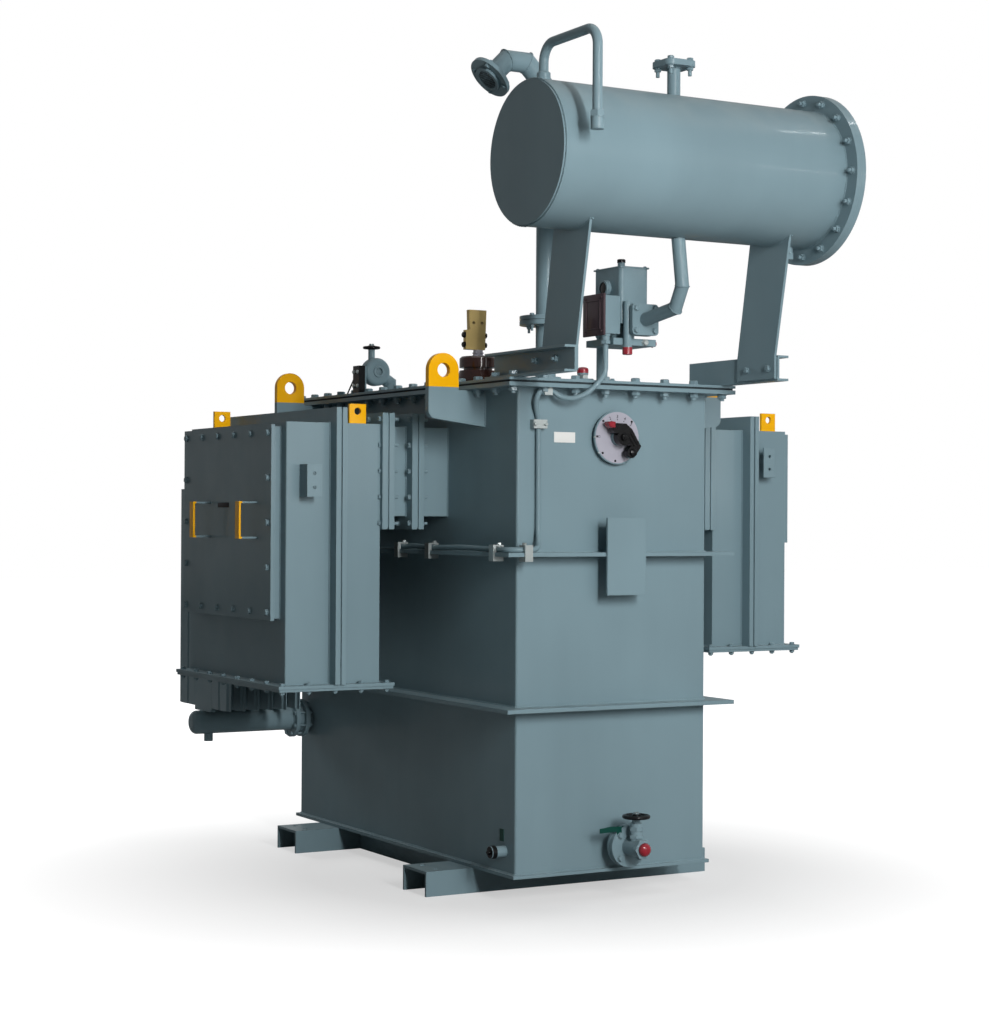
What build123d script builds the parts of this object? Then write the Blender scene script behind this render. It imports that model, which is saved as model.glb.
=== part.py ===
from build123d import *
from math import radians, tan
import os

# Power transformer with an oil conservator, in millimetres.
# While it is drawn, X runs right along the short front wall from the tank's left side,
# Y runs back from the front wall, and Z is up from the ground.
# When it is written, X and Y are counted from the middle of the whole footprint.

# Skids and rails under the tank
skid_width = 150
skid_height = 75
skid_wall = 8
skid_overhang = 170
front_skid_setback = 232
skid_pitch = 932
roller_hole_radius = 9
roller_hole_spacing = 80
roller_hole_inset = 50
rail_setback = 70
rail_width = 40

# Tank
tank_width = 670
tank_length = 1498
tank_wall = 8
corner_radius = 7
floor_thickness = 10
floor_lip = 12
wall_height = 1437
rim_projection = 65
rim_thickness = 12
gasket_thickness = 6
gasket_inset = 6
cover_thickness = 8
stiffener_projection = 65
stiffener_thickness = 12
lower_stiffener_height = 563
upper_stiffener_height = 1016

# Lifting lugs on the long walls
lug_setback = 200
lug_thickness = 20
lug_reach = 193
lug_width = 101
lug_foot_height = 1400
lug_rise = 24
lug_corner_radius = 25
lug_eye_height = 1566
lug_eye_radius = 21
lug_rim_gap = 2

# Blank plate on the front of the upper stiffener
front_plate_width = 136
front_plate_height = 230
front_plate_thickness = 8
front_plate_rise = 115
front_plate_offset = 336

# Throats between the tank and the cable boxes
throat_clearance = 104
throat_height = 272
throat_neck = 104
throat_flange = 18
throat_gasket = 5
throat_gasket_inset = 5
high_voltage_adapter = 60
low_voltage_adapter = 74
throat_flange_rise = 40
throat_inset = 24

# Cable boxes, the high voltage one on the left and the low voltage one on the right
box_joint_offset = 378
joint_flange = 15
joint_gasket = 5
joint_gasket_inset = 6
joint_projection = 45
outer_chamber_depth = 143
box_back = 1150
box_edge_radius = 4
high_voltage_front = 400
high_voltage_bottom = 630
high_voltage_top = 1410
low_voltage_front = 325
low_voltage_bottom = 712
low_voltage_top = 1420
gland_flange_thickness = 10
gland_plate_thickness = 8
gland_projection = 35
gland_plate_inset = 3
cover_frame_depth = 22
cover_plate_thickness = 12
cover_frame_inset = 6
cover_side_margin = 32
cover_back_margin = 25
cover_top_margin = 8
high_voltage_cover_bottom = 820
low_voltage_cover_bottom = 1050
handle_width = 30
handle_thickness = 6
handle_height = 112
handle_reach = 60
handle_first_setback = 146
handle_second_setback = 511
high_voltage_handle_height = 1062
low_voltage_handle_height = 1176
tab_width = 56
tab_height = 60
tab_thickness = 10
tab_hole_radius = 11
tab_hole_rise = 38
tab_end_inset = 25
inner_tab_inset = 92
high_voltage_tab_inset = 69
low_voltage_tab_inset = 25
bracket_width = 48
bracket_height = 97
bracket_standoff = 53
bracket_thickness = 5
high_voltage_bracket_top = 1284
high_voltage_bracket_inset = 44
low_voltage_bracket_top = 1362
low_voltage_bracket_inset = 81
bracket_hole_radius = 5
bracket_hole_spacing = 42

# Radiators behind the cable boxes
fin_count = 6
fin_pitch = 50
fin_thickness = 14
fin_seam = 3
fin_width = 455
fin_height = 744
fin_bottom = 478
fin_neck_width = 150
fin_neck_height = 12
fin_flutes = 6
fin_margin = 18
first_fin_offset = 135
radiator_setback = 1442
header_radius = 40
header_end_radius = 22
header_overhang = 52
header_stub_radius = 36
header_flange_radius = 65
header_flange_thickness = 14
header_stub = 20
header_valve = 22
header_valve_radius = 48
header_plug_radius = 15
header_plug_height = 25
header_plug_offset = 237

# Conservator
barrel_radius = 203
barrel_wall = 6
barrel_length = 974
barrel_overhang = 163
barrel_height = 2136
barrel_forward = 318
end_plate_thickness = 8
end_plate_inset = 3
end_flange_radius = 250
end_flange_thickness = 16
end_cover_thickness = 16
drain_stub_radius = 14
drain_stub_length = 36
drain_stub_inset = 72
leg_thickness = 8
leg_bottom_width = 183
leg_top_width = 191
leg_lean = 76
leg_front = 340
leg_top_drop = 146
leg_inset = 4
channel_height = 75
channel_flange = 40
channel_wall = 7
channel_length = 450
channel_front = 345
leg_lift = 6

# Pipes on the conservator
filler_radius = 19
filler_offset = 327
filler_height = 82
filler_flange_width = 100
filler_flange_thickness = 10
filler_cap_thickness = 7
filler_corner_radius = 22
filler_hole_radius = 6
filler_hole_spacing = 66
breather_radius = 13.5
breather_offset = 108
breather_height = 2438
breather_reach = 278
breather_bend = 50
breather_end = 2196
breather_cap_radius = 18
breather_cap_height = 34

# Explosion vent
vent_radius = 30
vent_offset = 107
vent_setback = 20
vent_rise = 2393
vent_mitre = 72
vent_run = 67
vent_drop = 50
vent_flange_radius = 67
vent_flange_thickness = 12
vent_ring_radius = 40
vent_ring_height = 7
vent_joint_height = 1696
vent_joint_radius = 78
vent_joint_thickness = 12
vent_joint_gasket = 3
vent_base_radius = 46
vent_base_thickness = 8

# Gas relay and its pipes
relay_left = 290
relay_width = 100
relay_front = 100
relay_depth = 144
relay_bottom = 1704
relay_height = 168
relay_edge_radius = 12
relay_neck_radius = 32
relay_axis_height = 1714
relay_axis_offset = 350
relay_flange_width = 92
relay_flange_thickness = 14
relay_flange_gap = 17
relay_base_width = 150
relay_base_depth = 150
relay_base_thickness = 20
relay_base_height = 1640
relay_base_neck = 40
relay_window_radius = 24
relay_window_depth = 10
relay_window_rise = 108
relay_stub_radius = 11
relay_stub_height = 30
relay_probe_radius = 12
relay_probe_height = 128
relay_probe_offset = 308
relay_probe_cap_radius = 14
relay_probe_cap_height = 28
terminal_box_width = 54
terminal_box_depth = 104
terminal_box_height = 112
terminal_box_bottom = 1672
terminal_lid_thickness = 6
terminal_lid_margin = 5
terminal_gland_radius = 12
terminal_gland_height = 30
terminal_gland_inset = 14
terminal_gland_setback = 16
relay_pipe_radius = 20
relay_pipe_offset = 345
relay_pipe_drop = 1798
relay_pipe_side = 15
relay_pipe_bend_height = 1737
relay_pipe_bend_back = 34
tank_pipe_radius = 17
tank_pipe_setback = 92
tank_pipe_flange_radius = 44
tank_pipe_flange_thickness = 10

# Fittings on the cover
bushing_offset = 58
bushing_setback = 341
bushing_radius = 64
bushing_height = 86
bushing_rim_height = 14
bushing_drum_radius = 57
bushing_drum_height = 34
bushing_groove_radius = 44
bushing_groove_height = 9
bushing_chamfer = 6
bushing_stem_radius = 12.5
bushing_stem_height = 21
palm_shift = 6
palm_width = 60
palm_foot_width = 52
palm_thickness = 18
palm_height = 122
palm_hole_radius = 5
palm_hole_spacing = 29
palm_hole_drop = 40
palm_clamp_width = 15
palm_clamp_height = 60
pocket_offset = 235
pocket_setback = 18
pocket_radius = 13
pocket_height = 20
pocket_base_width = 46
pocket_base_thickness = 8
pocket_cap_radius = 16.5
pocket_cap_height = 18
top_valve_offset = 14
top_valve_setback = 958
top_valve_rise = 72
top_valve_radius = 46
top_valve_depth = 50
top_valve_bore = 13
top_valve_bore_depth = 8
top_valve_neck = 54
top_valve_neck_drop = 34
top_valve_neck_radius = 21
top_valve_base_radius = 34
top_valve_base_thickness = 8
top_valve_bonnet_radius = 11
top_valve_stem_shift = 14
top_valve_bonnet_top = 1681
top_valve_clamp_width = 22
top_valve_clamp_rise = 18
top_valve_clamp_depth = 44
top_valve_clamp_gap = 3
top_valve_rod_radius = 2.5
top_valve_rod_lean = 52
top_wheel_radius = 29
top_wheel_rim = 4.5

# Drain valve at the foot of the front wall
drain_offset = 352
drain_height = 156
drain_pipe_radius = 30
drain_flange_radius = 62
drain_flange_thickness = 12
drain_flange_gap = 4
drain_stub = 44
drain_body_radius = 27
drain_body_length = 62
drain_hex_radius = 30
drain_hex_length = 14
drain_bonnet_radius = 18
drain_bonnet_height = 46
drain_bonnet_nut_radius = 21
drain_plug_radius = 22
drain_plug_length = 18
drain_wheel_height = 248
drain_wheel_radius = 42
drain_wheel_rim = 6
drain_body_centre = 106

# Handwheels
stem_radius = 5
running_clearance = 0.05
wheel_hub_radius = 12
wheel_hub_height = 14
wheel_spoke_radius = 3.5
wheel_spoke_count = 5
stem_nut_radius = 8
stem_nut_height = 5
stem_nut_gap = 0.4

# Oil sampling stub near the front corner of the left wall
sample_setback = 62
sample_height = 148
sample_radius = 17
sample_length = 34
sample_plug_radius = 19
sample_plug_length = 16

# Tap changer on the front wall
tap_offset = 333
tap_height = 1370
tap_boss_radius = 58
tap_boss_depth = 14
tap_plate_radius = 80
tap_plate_thickness = 7
tap_hub_radius = 24
tap_hub_depth = 16
tap_shaft_radius = 8
tap_shaft_length = 30
tap_handle_gap = 1
tap_handle_depth = 24
tap_handle_width = 30
tap_arm_radius = 41
tap_grip_reach = 62

# Control cable from the relay's terminal box to the side of the tank
cable_radius = 8
cable_route = [(250, -84, 1642), (250, -84, 1556), (222, -86, 1524), (190, -72, 1492),
               (152, -56, 1478), (120, -40, 1484), (100, -32, 1502), (56, -32, 1502),
               (50, -22, 1472), (56, -12, 1450), (66, -8, 1424), (67, -8, 1090),
               (56, -30, 1044), (30, -50, 1036), (-28, -50, 1036), (-50, -28, 1036),
               (-50, 60, 1036), (-50, 250, 1040), (-51, 391, 1036), (-50, 470, 1036),
               (-48, 560, 1040), (-50, 600, 1036), (-50, 648, 1036)]
cable_run_share = 0.45
clamp_length = 26
clamp_cover = 6
clamp_clearance = 1.5
clamp_depth = 32
rim_clamp_offset = 79
wall_clamp_offset = 66
wall_clamp_height = 1404
wall_clamp_width = 46
shelf_clamp_reach = 30
shelf_clamp_lip = 5
shelf_clamp_drop = 14
front_clamp_offset = 1
shelf_cable_inset = 15
side_clamp_setbacks = (29, 430, 635)

# One overrun serves every cut, and cutters reach past a face by it
overrun = 5

# Sizes that follow
ground = 0
floor_bottom = ground + skid_height
wall_bottom = floor_bottom + floor_thickness
wall_top = wall_bottom + wall_height
rim_bottom = wall_top - rim_thickness
gasket_top = wall_top + gasket_thickness
cover_top = gasket_top + cover_thickness
middle_x = tank_width / 2
front_plate_top = upper_stiffener_height + front_plate_rise
throat_bottom = upper_stiffener_height + stiffener_thickness + throat_clearance
flange_pair = 2 * throat_flange + throat_gasket
fixed_throat = throat_neck + 2 * flange_pair
outer_chamber_start = box_joint_offset + 2 * joint_flange + joint_gasket
outer_chamber_end = outer_chamber_start + outer_chamber_depth
cover_face = outer_chamber_end + cover_frame_depth + cover_plate_thickness
fin_top = fin_bottom + fin_height
last_fin_offset = first_fin_offset + (fin_count - 1) * fin_pitch
bottom_header_height = fin_bottom - fin_neck_height - header_radius
top_header_height = fin_top + fin_neck_height + header_radius
barrel_right = barrel_length - barrel_overhang
left_leg_face = -leg_inset
breather_front = -barrel_forward - breather_reach
footprint_front = breather_front - breather_cap_radius
footprint_back = radiator_setback + fin_width / 2
middle_y = (footprint_front + footprint_back) / 2
leg_top_height = barrel_height - leg_top_drop
nodes = {}


def keep(name, shape):
    """Move a finished piece to the middle of the footprint and keep it under its name."""
    nodes[name] = Pos(-middle_x, -middle_y, 0) * shape


def block(x_span, y_span, z_span):
    """A box between the two ends of each span, given in either order."""
    spans = (x_span, y_span, z_span)
    middle = [(start + end) / 2 for start, end in spans]
    size = [abs(end - start) for start, end in spans]
    return Pos(*middle) * Box(*size)


def post(x, y, z_span, radius):
    """An upright cylinder."""
    bottom, top = min(z_span), max(z_span)
    return Pos(x, y, (bottom + top) / 2) * Cylinder(radius, top - bottom)


def bar_x(x_span, y, z, radius):
    """A cylinder along X."""
    start, end = x_span
    middle = Pos((start + end) / 2, y, z)
    return middle * Rot(0, 90, 0) * Cylinder(radius, abs(end - start))


def bar_y(x, y_span, z, radius):
    """A cylinder along Y."""
    start, end = y_span
    middle = Pos(x, (start + end) / 2, z)
    return middle * Rot(90, 0, 0) * Cylinder(radius, abs(end - start))


def mitred_pipe(points, radius):
    """A round pipe along straight runs with mitred joints."""
    path = Polyline(*points)
    section = Plane(origin=path @ 0, z_dir=path % 0) * Circle(radius)
    return sweep(section, path=path, transition=Transition.RIGHT)


def on_right(shape):
    """The mirror image of a piece of the left side, on the right side."""
    return Pos(tank_width, 0, 0) * mirror(shape, Plane.YZ)


def flat_side(shape, side):
    """A left-hand piece as it is, or mirrored where the side is the right one."""
    if side == "right":
        return on_right(shape)
    return shape


def skid(front):
    """A channel across the tank with its web up and roller holes near both ends."""
    x_span = (-skid_overhang, tank_width + skid_overhang)
    back = front + skid_width
    body = block(x_span, (front, back), (ground, skid_height))
    inner_x = (x_span[0] - overrun, x_span[1] + overrun)
    inner_y = (front + skid_wall, back - skid_wall)
    body -= block(inner_x, inner_y, (ground - overrun, skid_height - skid_wall))
    for x in (x_span[0] + roller_hole_inset, x_span[1] - roller_hole_inset):
        for side in (-1, 1):
            y = (front + back) / 2 + side * roller_hole_spacing / 2
            body -= post(x, y, (0, skid_height + overrun), roller_hole_radius)
    return body


def make_base():
    front = front_skid_setback
    back = front + skid_pitch
    keep("base_skid_front", skid(front))
    keep("base_skid_back", skid(back))
    y_span = (front + skid_width, back)
    rail = block((rail_setback, rail_setback + rail_width), y_span, (ground, skid_height))
    hollow_x = (rail_setback + skid_wall, rail_setback + rail_width + overrun)
    hollow_z = (ground + skid_wall, skid_height - skid_wall)
    rail -= block(hollow_x, (y_span[0] - overrun, y_span[1] + overrun), hollow_z)
    keep("base_rails", Compound([rail.solid(), on_right(rail).solid()]))


def ring(projection, bottom, thickness, inset=0):
    """A flat bar frame round the tank with mitred corners."""
    outer = block((-projection, tank_width + projection), (-projection, tank_length + projection),
                  (bottom, bottom + thickness))
    hole = block((inset, tank_width - inset), (inset, tank_length - inset),
                 (bottom - overrun, bottom + thickness + overrun))
    return outer - hole


def make_tank():
    lip = floor_lip
    keep("tank_floor", block((-lip, tank_width + lip), (-lip, tank_length + lip),
                             (floor_bottom, wall_bottom)))
    height = (wall_bottom, wall_top)
    front = block((0, tank_width), (0, tank_wall), height)
    outer_edges = front.edges().filter_by(Axis.Z).sort_by(Axis.Y)[:2]
    front = fillet(outer_edges, corner_radius)
    keep("tank_front_wall", front)
    back = block((0, tank_width), (tank_length - tank_wall, tank_length), height)
    outer_edges = back.edges().filter_by(Axis.Z).sort_by(Axis.Y)[-2:]
    keep("tank_back_wall", fillet(outer_edges, corner_radius))
    side = block((0, tank_wall), (tank_wall, tank_length - tank_wall), height)
    keep("tank_left_wall", side)
    keep("tank_right_wall", on_right(side))
    keep("tank_rim", ring(rim_projection, rim_bottom, rim_thickness))
    keep("lower_stiffener", ring(stiffener_projection, lower_stiffener_height,
                                 stiffener_thickness))
    keep("upper_stiffener", ring(stiffener_projection, upper_stiffener_height,
                                 stiffener_thickness))
    keep("cover_gasket", ring(rim_projection - gasket_inset, wall_top, gasket_thickness,
                              tank_wall))
    edge = rim_projection
    keep("tank_cover", block((-edge, tank_width + edge), (-edge, tank_length + edge),
                             (gasket_top, cover_top)))


def lifting_lug(middle):
    """A plate across the left wall whose eye stands above the cover."""
    outer = -lug_reach
    inner = outer + lug_width
    low = lug_foot_height
    under_rim = rim_bottom
    crown = lug_width / 2
    outline = Polyline((0, low), (outer, low + lug_rise), (outer, lug_eye_height),
                       (inner, lug_eye_height), (inner, under_rim - lug_rim_gap),
                       (0, under_rim - lug_rim_gap), close=True)
    face = make_face(outline)
    foot = face.vertices().sort_by(Axis.X)[:2].sort_by(Axis.Y)[:1]
    face = fillet(foot, lug_corner_radius)
    face += Pos(outer + crown, lug_eye_height) * Circle(crown)
    face -= Pos(outer + crown, lug_eye_height) * Circle(lug_eye_radius)
    upright = Plane(origin=(0, middle + lug_thickness / 2, 0), x_dir=(1, 0, 0), z_dir=(0, -1, 0))
    return extrude(upright * face, lug_thickness)


def make_lugs():
    for name, middle in (("front", lug_setback), ("back", tank_length - lug_setback)):
        for side in ("left", "right"):
            keep(f"lifting_lug_{name}_{side}", flat_side(lifting_lug(middle), side))


def make_front_plate():
    half = front_plate_width / 2
    face = -stiffener_projection
    keep("front_plate", block((front_plate_offset - half, front_plate_offset + half),
                              (face - front_plate_thickness, face),
                              (front_plate_top - front_plate_height, front_plate_top)))


def throat(front, adapter):
    """The welded neck, the loose adapter and their two bolted flange pairs."""
    y_low, y_high = front + throat_inset, box_back - throat_inset
    z_low, z_high = throat_bottom, throat_bottom + throat_height
    end = fixed_throat + adapter
    body = block((0, -end), (y_low, y_high), (z_low, z_high))
    rise = throat_flange_rise
    for start in (throat_neck, throat_neck + flange_pair + adapter):
        for shift in (0, throat_flange + throat_gasket):
            near = start + shift
            body += block((-near, -near - throat_flange), (y_low - rise, y_high + rise),
                          (z_low - rise, z_high + rise))
        near = start + throat_flange
        grown = rise - throat_gasket_inset
        body += block((-near, -near - throat_gasket), (y_low - grown, y_high + grown),
                      (z_low - grown, z_high + grown))
    return body


def inner_chamber(front, bottom, top, adapter):
    """The chamber at the tank side, with its half of the joint flange and the gasket."""
    near = box_joint_offset
    body = block((-fixed_throat - adapter, -near), (front, box_back), (bottom, top))
    out = joint_projection
    body += block((-near, -near - joint_flange), (front - out, box_back + out),
                  (bottom, top + out))
    near += joint_flange
    out -= joint_gasket_inset
    body += block((-near, -near - joint_gasket), (front - out, box_back + out),
                  (bottom, top + out))
    return body


def outer_chamber(front, bottom, top, cover_bottom):
    """The chamber at the outer side, with the other flange and the frame of its cover."""
    near = outer_chamber_start
    body = block((-near, -outer_chamber_end), (front, box_back), (bottom, top))
    body = fillet(body.edges().filter_by(Axis.Z).sort_by(Axis.X)[:2], box_edge_radius)
    out = joint_projection
    body += block((joint_flange - near, -near), (front - out, box_back + out),
                  (bottom, top + out))
    margin = cover_frame_inset
    body += block((-outer_chamber_end, -outer_chamber_end - cover_frame_depth),
                  (front + cover_side_margin + margin, box_back - cover_back_margin - margin),
                  (cover_bottom + margin, top - cover_top_margin - margin))
    return body


def box_cover(front, top, cover_bottom):
    """The bolted plate that closes the outer chamber."""
    near = outer_chamber_end + cover_frame_depth
    return block((-near, -near - cover_plate_thickness),
                 (front + cover_side_margin, box_back - cover_back_margin),
                 (cover_bottom, top - cover_top_margin))


def gland_plate(front, bottom, adapter):
    """The flange under both chambers with the bolted plate below it."""
    start = fixed_throat + adapter - gland_projection
    end = outer_chamber_end + gland_projection
    out = gland_projection
    flange_bottom = bottom - gland_flange_thickness
    body = block((-start, -end), (front - out, box_back + out), (flange_bottom, bottom))
    less = gland_plate_inset
    body += block((-start - less, -end + less), (front - out + less, box_back + out - less),
                  (flange_bottom - gland_plate_thickness, flange_bottom))
    return body


def cover_handle(y, bottom):
    """A flat bar bent into a U, standing on the cover."""
    outer = handle_reach
    bar = block((-cover_face, -cover_face - outer), (y, y + handle_width),
                (bottom, bottom + handle_height))
    less = handle_thickness
    bar -= block((overrun - cover_face, less - cover_face - outer),
                 (y - overrun, y + handle_width + overrun),
                 (bottom + less, bottom + handle_height - less))
    return bar


def box_tab(near, y, top):
    """A square tab with one hole on the roof of a chamber."""
    middle = near + tab_width / 2
    tab = block((-near, -near - tab_width), (y, y + tab_thickness), (top, top + tab_height))
    return tab - bar_y(-middle, (y - overrun, y + tab_thickness + overrun),
                       top + tab_hole_rise, tab_hole_radius)


def box_bracket(front, left, top):
    """An angle standing off the front of the outer chamber, with two holes."""
    right = left + bracket_width
    z_span = (top - bracket_height, top)
    back = front - bracket_standoff
    angle = block((left, right), (back, back + bracket_thickness), z_span)
    angle += block((left, left + bracket_thickness), (back, front), z_span)
    for side in (-1, 1):
        z = sum(z_span) / 2 + side * bracket_hole_spacing / 2
        angle -= bar_y((left + right) / 2, (back - overrun, back + bracket_thickness + overrun),
                       z, bracket_hole_radius)
    return angle


def make_cable_box(name, side, adapter, front, bottom, top, cover_bottom):
    """The five bolted or welded pieces of one box."""
    pieces = {"throat": throat(front, adapter),
              "inner_chamber": inner_chamber(front, bottom, top, adapter),
              "outer_chamber": outer_chamber(front, bottom, top, cover_bottom),
              "box_cover": box_cover(front, top, cover_bottom),
              "gland_plate": gland_plate(front, bottom, adapter)}
    for piece, shape in pieces.items():
        keep(f"{name}_{piece}", flat_side(shape, side))


def two_handles(front, bottom):
    """The two handles of a cover, one behind the other."""
    return [cover_handle(front + setback - handle_width / 2, bottom)
            for setback in (handle_first_setback, handle_second_setback)]


def make_cable_boxes():
    make_cable_box("high_voltage", "left", high_voltage_adapter, high_voltage_front,
                   high_voltage_bottom, high_voltage_top, high_voltage_cover_bottom)
    make_cable_box("low_voltage", "right", low_voltage_adapter, low_voltage_front,
                   low_voltage_bottom, low_voltage_top, low_voltage_cover_bottom)
    back_row = box_back - tab_end_inset
    inner_tab = fixed_throat + high_voltage_adapter + inner_tab_inset - tab_width
    left_outer_tab = outer_chamber_end - high_voltage_tab_inset - tab_width
    right_outer_tab = outer_chamber_end - low_voltage_tab_inset - tab_width
    left_tabs = [box_tab(inner_tab, high_voltage_front + tab_end_inset, high_voltage_top),
                 box_tab(left_outer_tab, back_row, high_voltage_top)]
    right_tabs = [box_tab(right_outer_tab, low_voltage_front + tab_end_inset, low_voltage_top),
                  box_tab(inner_tab, back_row, low_voltage_top)]
    left_bracket = box_bracket(high_voltage_front, high_voltage_bracket_inset - outer_chamber_end,
                               high_voltage_bracket_top)
    right_bracket = box_bracket(low_voltage_front, low_voltage_bracket_inset - outer_chamber_end,
                                low_voltage_bracket_top)
    left_handles = two_handles(high_voltage_front, high_voltage_handle_height)
    right_handles = two_handles(low_voltage_front, low_voltage_handle_height)
    for name, left, right in (("cable_box_tabs", left_tabs, right_tabs),
                              ("cable_box_brackets", [left_bracket], [right_bracket]),
                              ("box_cover_handles", left_handles, right_handles)):
        right = [on_right(shape) for shape in right]
        keep(name, Compound([shape.solid() for shape in left + right]))


def fin(offset):
    """One pressed panel with upright flutes and a neck at each header."""
    left = radiator_setback - fin_width / 2
    pitch = (fin_width - 2 * fin_margin) / fin_flutes
    thick, thin = fin_thickness / 2, fin_seam / 2
    upper = [(thin, left)]
    for flute in range(fin_flutes):
        start = left + fin_margin + flute * pitch
        upper += [(thin, start), (thick, start + thick), (thick, start + pitch - thick)]
    upper += [(thin, left + fin_width - fin_margin), (thin, left + fin_width)]
    lower = [(-depth, y) for depth, y in reversed(upper)]
    panel = extrude(Pos(0, 0, fin_bottom) * make_face(Polyline(*upper, *lower, close=True)),
                    fin_height)
    half = fin_neck_width / 2
    core = radiator_setback
    panel += block((-thick, thick), (core - half, core + half),
                   (fin_bottom - fin_neck_height, fin_top + fin_neck_height))
    return Pos(-offset, 0, 0) * panel


def header(height):
    """One pipe that carries the fins, with its valve and flanges at the tank wall."""
    outer = last_fin_offset + header_overhang
    pipe_start = header_stub + 2 * header_flange_thickness + header_valve
    pipe = bar_x((-pipe_start, -outer), radiator_setback, height, header_radius)
    pipe = fillet(pipe.edges().sort_by(Axis.X)[:1], header_end_radius)
    pipe += bar_x((0, -pipe_start), radiator_setback, height, header_stub_radius)
    start = header_stub
    for radius, depth in ((header_flange_radius, header_flange_thickness),
                          (header_valve_radius, header_valve),
                          (header_flange_radius, header_flange_thickness)):
        pipe += bar_x((-start, -start - depth), radiator_setback, height, radius)
        start += depth
    return pipe


def make_radiators():
    fins = [fin(first_fin_offset + place * fin_pitch) for place in range(fin_count)]
    bottom = header(bottom_header_height)
    bottom += post(-first_fin_offset - header_plug_offset, radiator_setback,
                   (bottom_header_height - header_radius - header_plug_height,
                    bottom_header_height), header_plug_radius)
    top = header(top_header_height)
    fins = [panel - bottom - top for panel in fins]
    for side in ("left", "right"):
        keep(f"radiator_{side}_fins",
             Compound([flat_side(panel, side).solid() for panel in fins]))
        keep(f"radiator_{side}_headers",
             Compound([flat_side(pipe, side).solid() for pipe in (bottom, top)]))


def make_conservator():
    y, z = -barrel_forward, barrel_height
    x_span = (end_plate_thickness - barrel_overhang, barrel_right)
    solid_barrel = bar_x((x_span[0] - overrun, x_span[1] + overrun), y, z, barrel_radius)
    barrel = bar_x(x_span, y, z, barrel_radius)
    barrel += post(barrel_right - drain_stub_inset, y,
                   (z - barrel_radius - drain_stub_length, z), drain_stub_radius)
    barrel -= bar_x((x_span[0] - overrun, x_span[1] + overrun), y, z,
                    barrel_radius - barrel_wall)
    keep("conservator_barrel", barrel)
    end_plate = bar_x((-barrel_overhang, x_span[0]), y, z, barrel_radius - end_plate_inset)
    keep("conservator_end_plate", end_plate)
    flange_start = barrel_right - end_flange_thickness
    flange = bar_x((flange_start, barrel_right), y, z, end_flange_radius) - solid_barrel
    keep("conservator_flange", flange)
    cover = bar_x((barrel_right, barrel_right + end_cover_thickness), y, z, end_flange_radius)
    keep("conservator_cover", cover)
    front, top_front = -leg_front, -leg_front - leg_lean
    bend = cover_top + channel_height
    outline = Polyline((front, cover_top + leg_lift), (front + leg_bottom_width, cover_top + leg_lift),
                       (front + leg_bottom_width, bend), (top_front + leg_top_width, leg_top_height),
                       (top_front, leg_top_height), (front, bend), close=True)
    upright = Plane(origin=(left_leg_face - leg_thickness, 0, 0), x_dir=(0, 1, 0), z_dir=(1, 0, 0))
    leg = extrude(upright * make_face(outline), leg_thickness) - solid_barrel
    keep("conservator_legs", Compound([leg.solid(), on_right(leg).solid()]))
    web = left_leg_face - leg_thickness
    y_span = (-channel_front, channel_length - channel_front)
    channel = block((web, web - channel_flange), y_span, (cover_top, bend))
    channel -= block((web - channel_wall, web - channel_flange - overrun),
                     (y_span[0] - overrun, y_span[1] + overrun),
                     (cover_top + channel_wall, bend - channel_wall))
    keep("conservator_channels", Compound([channel.solid(), on_right(channel).solid()]))
    return solid_barrel


def square_plate(x, y, z_span, width, corner):
    """A plate with rounded corners, lying flat."""
    outline = Pos(x, y, min(z_span)) * RectangleRounded(width, width, corner)
    return extrude(outline, max(z_span) - min(z_span))


def make_filler(barrel):
    x, y = filler_offset, -barrel_forward
    top = barrel_height + barrel_radius + filler_height
    pipe = post(x, y, (barrel_height, top), filler_radius) - barrel
    flange_top = top + filler_flange_thickness
    pipe += square_plate(x, y, (top, flange_top), filler_flange_width, filler_corner_radius)
    pipe += square_plate(x, y, (flange_top, flange_top + filler_cap_thickness),
                         filler_flange_width, filler_corner_radius)
    reach = filler_hole_spacing / 2
    for side_x in (-reach, reach):
        for side_y in (-reach, reach):
            pipe -= post(x + side_x, y + side_y,
                         (top - overrun, flange_top + filler_cap_thickness + overrun),
                         filler_hole_radius)
    keep("filler_pipe", pipe)


def make_breather(barrel):
    x = -breather_offset
    path = FilletPolyline((x, -barrel_forward, barrel_height), (x, -barrel_forward, breather_height),
                          (x, breather_front, breather_height), (x, breather_front, breather_end),
                          radius=breather_bend)
    section = Plane(origin=path @ 0, z_dir=path % 0) * Circle(breather_radius)
    pipe = sweep(section, path=path) - barrel
    pipe += post(x, breather_front, (breather_end - breather_cap_height, breather_end),
                 breather_cap_radius)
    keep("breather_pipe", pipe)


def make_vent():
    x, y = vent_offset, vent_setback
    high = vent_rise + vent_mitre
    left = x - vent_mitre - vent_run
    end = (left - vent_drop, y, high - vent_drop)
    pipe = mitred_pipe([(x, y, cover_top), (x, y, vent_rise), (x - vent_mitre, y, high),
                        (left, y, high), end], vent_radius)
    outward = Plane(origin=end, z_dir=(-1, 0, -1))
    disc = extrude(outward * Circle(vent_flange_radius), vent_flange_thickness)
    crown = Plane(origin=outward.from_local_coords((0, 0, vent_flange_thickness)), z_dir=(-1, 0, -1))
    disc += extrude(crown * Circle(vent_ring_radius), vent_ring_height)
    pipe += disc
    low = vent_joint_height
    for step in (0, vent_joint_thickness + vent_joint_gasket):
        pipe += post(x, y, (low + step, low + step + vent_joint_thickness), vent_joint_radius)
    pipe += post(x, y, (low, low + vent_joint_thickness + vent_joint_gasket),
                 vent_joint_radius - vent_joint_gasket)
    pipe += post(x, y, (cover_top, cover_top + vent_base_thickness), vent_base_radius)
    keep("vent_pipe", pipe)


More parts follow.
